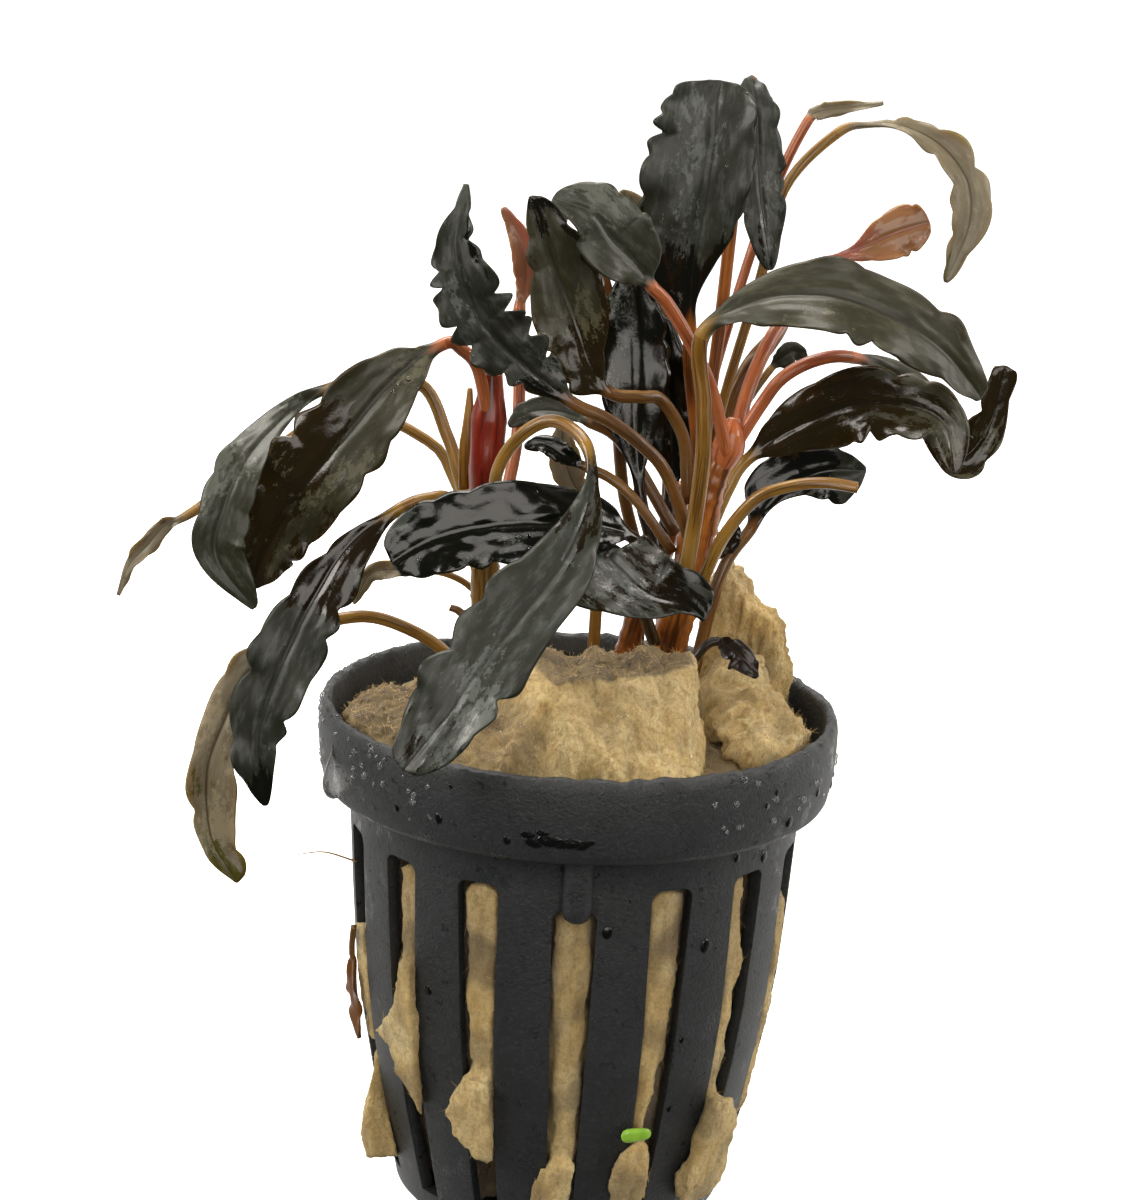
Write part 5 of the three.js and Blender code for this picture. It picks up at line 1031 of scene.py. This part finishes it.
# Darker where it is soaked; in the slots also painted shade, deep behind the wall
tone = layer(wool_felt, "ShaderNodeMix", {0: soak_and_shade, 6: tone, 7: linear("#5c4a2c")}, COLOUR_OUT, **COLOURS)
normal = layer(wool_felt, "ShaderNodeBump", {"Height": streaks, "Distance": 0.5 * MM, "Strength": 0.7})
normal = layer(wool_felt, "ShaderNodeBump",
               {"Height": tufts, "Distance": 0.6 * MM, "Strength": 0.9, "Normal": normal})
layer(wool_felt, SHADER, {
    "Base Color": tone, "Normal": normal, "Roughness": 0.75, "IOR": 1.5, "Sheen Weight": 0.2,
    "Sheen Roughness": 0.4, "Subsurface Weight": 0.25, "Subsurface Radius": (1.0, 0.7, 0.4),
    "Subsurface Scale": 1.0 * MM})
wool_strand, _ = new_material("rock_wool_strand")
shade = layer(wool_strand, "ShaderNodeAttribute", {}, "Fac", attribute_name="shade")
tone = layer(wool_strand, "ShaderNodeMix", {0: shade, 6: linear("#b08c4c"), 7: linear("#f2d69a")}, COLOUR_OUT,
             **COLOURS)
layer(wool_strand, SHADER, {"Base Color": tone, "Roughness": 0.4, "IOR": 1.5})
print("nodes in the felt's finish:", len(wool_felt.node_tree.nodes))

# %% [markdown]
# ## Felt skins
# Each piece of wool starts from its solid, which gives its place and its big form. A voxel remesh
# gives it an even fine skin, and streaky waves push the skin in and out, so that it looks torn.

# %% Felt skins
def points_of(mesh):
    """The places of a mesh's points in mm."""
    places = np.empty(len(mesh.vertices) * 3)
    mesh.vertices.foreach_get("co", places)
    return places.reshape(-1, 3) / MM


def felt_from(node, name, voxel_mm, big, fold, fine, seed, darkening):
    """A fine torn skin on a solid. big, fold and fine are the heights of its swells in mm, and darkening
    says how dark it is at each place: wet, and in the slots also painted shade."""
    draft = add_object("draft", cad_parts[node].data.copy())
    remesh = draft.modifiers.new("skin", "REMESH")
    remesh.mode = "VOXEL"
    remesh.voxel_size = voxel_mm * MM
    relax = draft.modifiers.new("relax", "SMOOTH")
    relax.factor = 0.5
    relax.iterations = 3
    mesh = settle(draft)
    places = points_of(mesh)
    normals = np.empty(places.size)
    mesh.vertex_normals.foreach_get("vector", normals)
    normals = normals.reshape(-1, 3)
    streaky = places * np.array([1, 1, 0.28])
    push = big * waves(places, 5.0, seed) + fold * waves(streaky, 2.2, seed + 3)
    push += fine * (waves(streaky, 1.1, seed + 1) + 0.6 * waves(places, 0.8, seed + 2))
    damp = darkening(places, normals)
    places += normals * (push - 0.4 * big - 0.2 * fold)[:, None]
    faces = [tuple(p.vertices) for p in mesh.polygons]
    bpy.data.objects.remove(draft)
    return make_piece(name, places, faces, [wool_felt], None, {"soak_and_shade": damp}, stands_for=node)


print("felt starts from", sum("wool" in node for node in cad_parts), "solids")

# %% [markdown]
# ## Strands
# Strands are laid on the felt at places picked at random from a numbered seed. Each is a thin
# three-sided thread that starts in the felt, lifts a little and dips back, and a few stand free. On
# upright faces they run mostly up and down, as the wool was packed.

# %% Strands
# As (share of its length, share of its thickness) for each ring of a strand
STRAND_RINGS = ((0.0, 1.0), (0.35, 1.0), (0.7, 0.85), (1.0, 0.35))
STRAND_SIDES = 3


def spots_on(piece, count, rng, keep):
    """Places picked at random over a piece, in mm, and the way out there. keep says where they may be."""
    mesh = piece.data
    mesh.calc_loop_triangles()
    corners = np.empty(len(mesh.loop_triangles) * 3, int)
    mesh.loop_triangles.foreach_get("vertices", corners)
    corners = corners.reshape(-1, 3)
    places = points_of(mesh)
    a, b, c = (places[corners[:, i]] for i in range(3))
    normal = np.cross(b - a, c - a)
    area = np.linalg.norm(normal, axis=1)
    normal /= np.maximum(area, 1e-12)[:, None]
    area = np.where(keep((a + b + c) / 3, normal), area, 0)
    pick = rng.choice(len(area), count, p=area / area.sum())
    u, v = rng.random((2, count))
    swap = u + v > 1
    u[swap], v[swap] = 1 - u[swap], 1 - v[swap]
    return a[pick] + u[:, None] * (b - a)[pick] + v[:, None] * (c - a)[pick], normal[pick]


def strands_on(piece, name, count, seed, keep, length=(0.6, 2.0), thick=0.018, loose=0.09, upright=0.8):
    """Threads laid over a felt piece. thick is half their thickness in mm, loose the share that stand
    free, and upright how strongly they run up and down."""
    rng = np.random.default_rng(seed)
    root, out = spots_on(piece, count, rng, keep)
    way = rng.normal(size=(count, 3))
    way[:, 2] += np.where(np.abs(out[:, 2]) < 0.75, np.sign(rng.normal(size=count)) * 3 * upright, 0)
    way -= (way * out).sum(axis=1)[:, None] * out
    way /= np.linalg.norm(way, axis=1)[:, None]
    bend = np.cross(way, out)
    long = rng.uniform(*length, count) * rng.uniform(0.5, 1, count)
    free = rng.random(count) < loose
    lift = np.where(free, rng.uniform(0.3, 0.9, count), rng.uniform(-0.03, 0.05, count))
    sway = rng.normal(size=count) * 0.25 * long
    rings = []
    for s, slim in STRAND_RINGS:
        rise = np.where(free, lift * s**1.5, lift * math.sin(math.pi * s)) - 0.05 + thick
        middle = root + way * (long * (s - 0.5))[:, None] + bend * (sway * s * s)[:, None]
        middle += out * rise[:, None]
        angle = 2 * math.pi * np.arange(STRAND_SIDES) / STRAND_SIDES
        spoke = bend[:, None] * np.cos(angle)[None, :, None] + out[:, None] * np.sin(angle)[None, :, None]
        rings.append(middle[:, None] + spoke * (thick * slim))
    verts = np.stack(rings, axis=1).reshape(-1, 3)

    # One strand's side faces, and the same again for every strand
    per_strand = STRAND_SIDES * len(STRAND_RINGS)
    ring = STRAND_SIDES * np.arange(len(STRAND_RINGS) - 1)[:, None]
    k = np.arange(STRAND_SIDES)
    after = (k + 1) % STRAND_SIDES
    quad = np.stack([ring + k, ring + after, ring + STRAND_SIDES + after, ring + STRAND_SIDES + k], axis=2)
    faces = (per_strand * np.arange(count)[:, None, None] + quad.reshape(1, -1, 4)).reshape(-1, 4)
    shades = np.repeat(rng.uniform(0, 1, count) ** 1.3, per_strand)
    return make_piece(name, verts, faces.tolist(), [wool_strand], None, {"shade": shades})


thread_faces = STRAND_SIDES * (len(STRAND_RINGS) - 1)
print("faces in one strand:", thread_faces)

# %% [markdown]
# ## Where the wool is wet, where its shade is painted, and where strands lie
# The wool isn't soaked evenly, deep in the slots its shade is painted into its colour, and strands are
# only worth making where they can be seen. Small functions say so, from the places on a piece and
# from its normals, the ways its surface faces there.

# %% Where the wool is wet, and its painted shade
# The pot's wall swells from its foot to just under the collar, in mm. The block is open above BLOCK_TOP.
WALL_FOOT_R, WALL_SWELL, WALL_TOP = 16.6, 5.2, 41.6
BLOCK_TOP = 44


def beside_wall(places):
    """How far each place is from the pot's axis, and how far the outside of the wall is there."""
    wall = WALL_FOOT_R + WALL_SWELL * np.sin(math.pi / 2 * np.clip(places[:, 2] / WALL_TOP, 0, 1))
    return np.linalg.norm(places[:, :2], axis=1), wall


def outside_wall(places, normals):
    """Places on the block that show: its open top, and what shows in and beyond the slots."""
    radius, wall = beside_wall(places)
    outward = (places[:, :2] * normals[:, :2]).sum(axis=1) / radius > 0.3
    return ((places[:, 2] > BLOCK_TOP) & (normals[:, 2] > 0.2)) | ((radius > wall - 1.6) & outward)


def anywhere(places, normals):
    """Everywhere but underneath."""
    return normals[:, 2] > -0.6


def soaked_top(places, normals):
    """Water stands in the flat tops and low on the left, so they are darker than the torn sides."""
    low_left = 0.6 * ease((-2.0 - places[:, 0]) / 2.5) * ease((55 - places[:, 2]) / 3)
    top = 0.8 * ease((normals[:, 2] - 0.6) / 0.3)
    return np.maximum(low_left, top) + 0.15 * ease(waves(places, 3.0, 7))


def soaked_and_shaded_slots(places, normals):
    """Painted shade deep behind the wall; darker towards the top of the slots and at the top inside the
    rim; wet in uneven patches; lighter where it bulges out.
    """
    radius, wall = beside_wall(places)
    patches = 0.45 * ease(0.1 + 0.9 * waves(places * [1, 1, 0.6], 4.5, 6))
    high = 0.35 * ease((places[:, 2] - 22) / 12)
    # Painted shade: darker where the block lies deep behind the wall
    deep = 0.9 * ease((wall - 0.6 - radius) / 1.2)
    return np.where(places[:, 2] > BLOCK_TOP, 0.7, (deep + patches + high).clip(0, 1))


def damp_patches(places, normals):
    """Large faint patches, on wool that has mostly drained."""
    return 0.35 * ease(0.5 + 0.6 * waves(places, 7.0, 5))


# Inside the wall this darkening is mostly painted shade
sample = np.array([[0.0, -18.0, 10.0], [0.0, -24.0, 10.0]])
print("wet inside the wall and outside it:", soaked_and_shaded_slots(sample, sample).round(2).tolist())

# %% [markdown]
# ## The wool
# Six pieces: the block in the pot, three torn lumps on it, the flap behind them and the tail that
# hangs outside. The block bulges only a little, and the lumps, which were torn by hand, more.

# %% Dress the wool
wool_parts = {
    "wool_plug": dict(voxel=0.5, big=0.10, fold=0.08, fine=0.1, strands=5200, keep=outside_wall,
                      darkening=soaked_and_shaded_slots),
    "wool_centre": dict(voxel=0.36, big=0.4, fold=0.16, fine=0.16, strands=4200, keep=anywhere,
                        darkening=soaked_top),
    "wool_left": dict(voxel=0.36, big=0.3, fold=0.15, fine=0.18, strands=1800, keep=anywhere,
                      darkening=soaked_top),
    "wool_right": dict(voxel=0.36, big=0.3, fold=0.2, fine=0.18, strands=2200, keep=anywhere,
                       darkening=damp_patches),
    "wool_flap": dict(voxel=0.33, big=0.25, fold=0.18, fine=0.18, strands=2600, keep=anywhere,
                      darkening=damp_patches),
    "wool_tail": dict(voxel=0.3, big=0.1, fold=0.06, fine=0.06, strands=500, keep=anywhere,
                      darkening=damp_patches),
}
wool = {}
for number, (name, spec) in enumerate(wool_parts.items()):
    wool[name] = felt_from(name, "fine_" + name, spec["voxel"], spec["big"], spec["fold"], spec["fine"],
                           20 + number * 5, spec["darkening"])
    threads = strands_on(wool[name], name + "_strands", spec["strands"], 60 + number, spec["keep"])
    print(name, "felt faces", len(wool[name].data.polygons), "strand faces", len(threads.data.polygons))

# %% [markdown]
# ## Root hair
# One thin root hair, 6 mm long and pale ochre, sticks out to the left of the wall. It is a thread
# like the wool's, only longer, so it is made as one small stem.

# %% The hair
hair = grow_stem("root_hair", [[-20.6, -6, 34.3], [-23.7, -6, 35.1], [-26.4, -6, 34.7]], [0.11, 0.09, 0.05],
                 "ochre", None, "wool", sides=6, rings=20, knobs=0.1)
print("hair:", len(hair.data.polygons), "faces")

# %% [markdown]
# ## Duckweed
# One bright green frond of duckweed, 3 mm long, sticks to the wool of a front slot. A frond is an
# oval cushion, thicker in the middle, with a faint vein along it.

# %% The frond
frond_green, mm = new_material("duckweed_frond_green")
mottle = layer(frond_green, "ShaderNodeTexNoise", {0: mm, 2: 1.6, 3: 3.0, 4: 0.6})
tone = layer(frond_green, "ShaderNodeMix", {0: mottle, 6: linear("#6fa02c"), 7: linear("#9ccc48")},
             COLOUR_OUT, **COLOURS)
grain = layer(frond_green, "ShaderNodeTexNoise", {0: mm, 2: 6.0})
normal = layer(frond_green, "ShaderNodeBump", {"Height": grain, "Distance": 0.04 * MM, "Strength": 0.5})
layer(frond_green, SHADER, {"Base Color": tone, "Normal": normal, "IOR": 1.4, "Roughness": 0.32,
                            "Coat Weight": 0.5, "Coat Roughness": 0.08, "Coat IOR": 1.33})
FROND_AT, FROND_TURN = np.array([7.3, -19.2, 13.6]), 0.33
FROND_HALF_LONG, FROND_HALF_THICK, FROND_HALF_WIDE = 1.5, 0.33, 0.68
FROND_RINGS, FROND_AROUND = 25, 20
frond = []
for s in np.linspace(-1, 1, FROND_RINGS):
    wide = math.sqrt(max(0.0, 1 - s**4)) * (1 - 0.12 * s)
    for k in range(FROND_AROUND):
        a = 2 * math.pi * k / FROND_AROUND
        x = FROND_HALF_LONG * s
        y = FROND_HALF_THICK * wide * math.sin(a)
        z = FROND_HALF_WIDE * wide * math.cos(a)
        y += 0.05 * math.exp(-(z / 0.12) ** 2) * (y < 0)
        frond.append((x * math.cos(FROND_TURN) - y * math.sin(FROND_TURN) + FROND_AT[0],
                      x * math.sin(FROND_TURN) + y * math.cos(FROND_TURN) + FROND_AT[1], z + FROND_AT[2]))
duckweed = make_piece("fine_duckweed", frond, ring_faces(FROND_RINGS, FROND_AROUND), [frond_green],
                      stands_for="duckweed")
print("frond:", len(duckweed.data.polygons), "faces")

# %% [markdown]
# ## Water
# Everything has just come out of the water. Small drops sit on the rim, the collar, the stems and the
# leaves, and very small ones glitter on the wool. Each is a low clear dome, rounder where the
# plastic or the skin is waxy.

# %% Small drops
clear_water, mm = new_material("clear_water")
ripple = layer(clear_water, "ShaderNodeTexNoise", {0: mm, 2: 0.8, 3: 2.0})
normal = layer(clear_water, "ShaderNodeBump", {"Height": ripple, "Distance": 0.05 * MM, "Strength": 0.3})
layer(clear_water, SHADER, {"Base Color": linear("#ffffff"), "Roughness": 0.02, "IOR": 1.33,
                            "Transmission Weight": 1.0, "Normal": normal})


def domes(name, root, out, size, height, long=1.0, around=12, skin=clear_water):
    """Closed domes at the places in root, size mm in radius. height is their share of a half ball,
    and long draws them out along z."""
    side = np.cross(out, [0.0, 0.0, 1.0]) + 1e-6
    side /= np.linalg.norm(side, axis=1)[:, None]
    up = np.cross(side, out) * long
    turn = np.linspace(0, 2 * math.pi, around, endpoint=False)
    spoke = side[:, None] * np.cos(turn)[None, :, None] + up[:, None] * np.sin(turn)[None, :, None]
    down = np.radians([8, 30, 55, 80, 105, 150])
    rings = [root[:, None] + spoke * (size * math.sin(d))[:, None, None]
             + (out * (size * height * math.cos(d))[:, None])[:, None] for d in down]
    one = ring_faces(len(down), around)
    step = len(down) * around
    faces = [tuple(v + n * step for v in face) for n in range(len(root)) for face in one]
    return make_piece(name, np.stack(rings, axis=1).reshape(-1, 3), faces, [skin])


def on_top(places, normals):
    """What faces up."""
    return normals[:, 2] > 0.3


def on_rim(places, normals):
    """The rim and the sides of the collar that are seen edge on."""
    return (places[:, 2] > 43) & (np.abs(places[:, 0]) > 12) & (np.linalg.norm(places[:, :2], axis=1) > 24)


# As (piece, how many drops, where they may sit, smallest and largest radius in mm, height)
wet_pieces = {
    "drops_wool_centre": (wool["wool_centre"], 260, on_top, (0.08, 0.26), 0.7),
    "drops_wool_left": (wool["wool_left"], 160, on_top, (0.08, 0.26), 0.7),
    "drops_wool_flap": (wool["wool_flap"], 50, anywhere, (0.06, 0.16), 0.7),
    "drops_pot": (pot, 150, on_rim, (0.12, 0.42), 0.6),
    "drops_stem_left": (grown["stem_left"], 14, anywhere, (0.12, 0.25), 0.7),
    "drops_stem_main": (grown["stem_main"], 14, anywhere, (0.12, 0.25), 0.7),
    "drops_upper_ruffled": (grown["upper_ruffled"], 8, on_top, (0.12, 0.25), 0.5),
    "drops_top_broad": (grown["top_broad"], 8, anywhere, (0.12, 0.25), 0.5),
    "drops_left_broad": (grown["left_broad"], 10, on_top, (0.12, 0.3), 0.5),
    "drops_front_dark": (grown["front_dark"], 8, on_top, (0.12, 0.3), 0.5),
}
for number, (name, (piece, count, keep, size, height)) in enumerate(wet_pieces.items()):
    rng = np.random.default_rng(90 + number)
    root, out = spots_on(piece, count, rng, keep)
    domes(name, root, out, rng.uniform(*size, count), height, around=8 if height > 0.65 else 12)
print("small drops:", sum(spec[1] for spec in wet_pieces.values()))

# %% [markdown]
# ## The long drop
# One long drop hangs on the left of the collar, about to fall. It is a narrow neck that runs down
# into a round bead, made as rings one under the other.

# %% The long drop
DROP_TURN, DROP_OUT, DROP_TOP, DROP_LONG = -65.0, 25.0, 48.3, 6.2
DROP_HALF_W, DROP_HALF_DEEP = 1.3, 0.95
# Where the bead is widest, as a share of the length from the top
BEAD_AT = 0.76
DROP_RINGS, DROP_AROUND = 22, 24
s = np.linspace(0, 1, DROP_RINGS)
neck = 0.1 + 0.9 * ease(s / BEAD_AT) ** 1.3
bead = np.where(s > BEAD_AT, np.sqrt((1 - ((s - BEAD_AT) / (1 - BEAD_AT)) ** 2).clip(0.003)), neck)
turn = math.radians(DROP_TURN)
around = np.linspace(0, 2 * math.pi, DROP_AROUND, endpoint=False)
sideways = DROP_HALF_W * bead[:, None] * np.cos(around)
outwards = DROP_OUT + DROP_HALF_DEEP * bead[:, None] * np.sin(around)
teardrop = np.stack([sideways * math.cos(turn) + outwards * math.sin(turn),
                     sideways * math.sin(turn) - outwards * math.cos(turn),
                     np.broadcast_to((DROP_TOP - DROP_LONG * s)[:, None], sideways.shape)], axis=2)
long_drop = make_piece("drop_hanging", teardrop.reshape(-1, 3), ring_faces(DROP_RINGS, DROP_AROUND),
                       [clear_water])
print("long drop:", len(long_drop.data.polygons), "faces")

# %% [markdown]
# ## Wet scars on the pot
# The photo shows small raised, wet places in the black plastic and a smear low on the collar. Each
# place is a low dome on the outside of the wall, and the smear is a row of them that run together.
# The domes are painted darker than the pot: painted shade, for the dark look of pits and drops.

# %% Wet scars on the pot
pot_scar, mm = new_material("wet_polypropylene_painted_dark")
bumps = layer(pot_scar, "ShaderNodeTexNoise", {0: mm, 2: 2.5, 3: 3.0})
normal = layer(pot_scar, "ShaderNodeBump", {"Height": bumps, "Distance": 0.1 * MM, "Strength": 0.6})
# Painted shade: near black, darker than the pot's plastic, so the domes look like dark pits
layer(pot_scar, SHADER, {"Base Color": linear("#050506"), "Roughness": 0.2, "IOR": 1.49, "Normal": normal})


def on_wall(spots):
    """Places on the outside of the wall from (turn in degrees, height), and the way out there."""
    turns = np.radians([spot[0] for spot in spots])
    heights = np.array([spot[1] for spot in spots], float)
    radius = np.interp(heights, [z for r, z in wall_outside], [r for r, z in wall_outside])
    way_out = np.stack([np.sin(turns), -np.cos(turns), 0 * turns], axis=1)
    return way_out * radius[:, None] + [0, 0, 1] * heights[:, None], way_out


# Each as (turn in degrees, height, radius), in mm. The smear is a row of them low on the collar's front.
scars = [(53, 43.7, 0.5), (65, 45.2, 0.4), (80, 44.0, 0.4), (55, 39.3, 0.5), (44, 40.2, 0.4),
         (9.5, 34.4, 0.5), (36.5, 32.0, 0.6), (47, 47.2, 0.3), (44, 46.2, 0.25), (-29, 44.7, 0.45),
         (-40, 44.6, 0.35), (-26, 48.0, 0.2), (-13.5, 43.8, 0.35), (-37, 26, 0.4), (32.5, 22.6, 0.3),
         (32, 15.2, 0.3)]
smear = [(-9.2, 44.6, 0.7), (-7.6, 43.9, 1.0), (-6.1, 44.9, 0.6), (-4.6, 44.2, 1.2), (-2.4, 44.0, 1.0),
         (-0.4, 44.1, 1.1), (1.7, 43.9, 0.9), (3.4, 44.2, 0.6)]
for name, spots, height, long in (("scars", scars, 0.3, 1.3), ("smear", smear, 0.07, 0.55)):
    root, out = on_wall(spots)
    domes("pot_" + name, root, out, np.array([spot[2] for spot in spots]), height, long=long, around=16,
          skin=pot_scar)
print("scars on the pot:", len(scars) + len(smear))

# %% [markdown]
# ## Floor and light
# A plain white floor, large enough to fill the view, that only the camera sees. One wide panel
# overhead draws the bright patches on the leaves, two weaker ones light the sides, and a wide one in
# front lights the wool and the pot but hardly shows in the wet skins. The room is bright behind the
# plant and dim in front, so that the leaves that face the camera stay dark.

# %% Floor
floor_paint, mm = new_material("matt_white_paint")
tone_at = layer(floor_paint, "ShaderNodeTexNoise", {0: mm, 2: 0.004})
tone = layer(floor_paint, "ShaderNodeMix", {0: tone_at, 6: linear("#f4f4f3"), 7: linear("#f8f8f7")},
             COLOUR_OUT, **COLOURS)
layer(floor_paint, SHADER, {"Base Color": tone, "Roughness": 0.9, "Specular IOR Level": 0.1,
                            "Emission Strength": 0.75})
# In metres
FLOOR_HALF = 15
floor_mesh = bpy.data.meshes.new("floor")
floor_corners = [(x * FLOOR_HALF, y * FLOOR_HALF, 0) for x, y in ((-1, -1), (1, -1), (1, 1), (-1, 1))]
floor_mesh.from_pydata(floor_corners, [], [(0, 1, 2, 3)])
floor_mesh.materials.append(floor_paint)
floor = add_object("floor", floor_mesh)
# Only the camera sees it: its white doesn't fill the plant with light from below
floor.visible_diffuse = False
floor.visible_glossy = False
print("floor:", 2 * FLOOR_HALF, "m across")

# %% Room and lamps
world = bpy.data.worlds.new("studio")
bpy.context.scene.world = world
world.use_nodes = True
way = layer(world, "ShaderNodeTexCoord", {}, "Generated")
depth = layer(world, "ShaderNodeSeparateXYZ", {0: way}, "Y")
glow = layer(world, "ShaderNodeMapRange", {0: depth, 1: -0.3, 2: 0.7, 3: 0.08, 4: 1.1})
world.node_tree.links.new(glow, world.node_tree.nodes["Background"].inputs["Strength"])
world.node_tree.nodes["Background"].inputs["Color"].default_value = linear("#fffdf8")


def lamp(name, at, towards, size, watts, mirrored):
    """A square soft panel that faces a point. mirrored is how strongly glossy skins show it."""
    data = bpy.data.lights.new(name, "AREA")
    data.size = size
    data.energy = watts
    data.color = linear("#fff9f1")[:3]
    data.specular_factor = mirrored
    made = add_object(name, data)
    made.location = at
    made.rotation_euler = (Vector(towards) - Vector(at)).to_track_quat("-Z", "Y").to_euler()


# Places and sizes in metres, power in watts
MIDDLE = (0, 0, 0.06)
lamp("overhead_panel", (-0.10, 0.16, 0.62), MIDDLE, 0.42, 5.0, mirrored=0.42)
lamp("left_panel", (-0.65, -0.25, 0.40), MIDDLE, 0.35, 4.0, mirrored=0.6)
lamp("right_panel", (0.70, -0.10, 0.35), MIDDLE, 0.35, 3.0, mirrored=0.6)
lamp("front_fill", (0.12, -0.75, 0.30), MIDDLE, 0.6, 4.0, mirrored=0.03)
bpy.context.scene.view_settings.view_transform = "Standard"
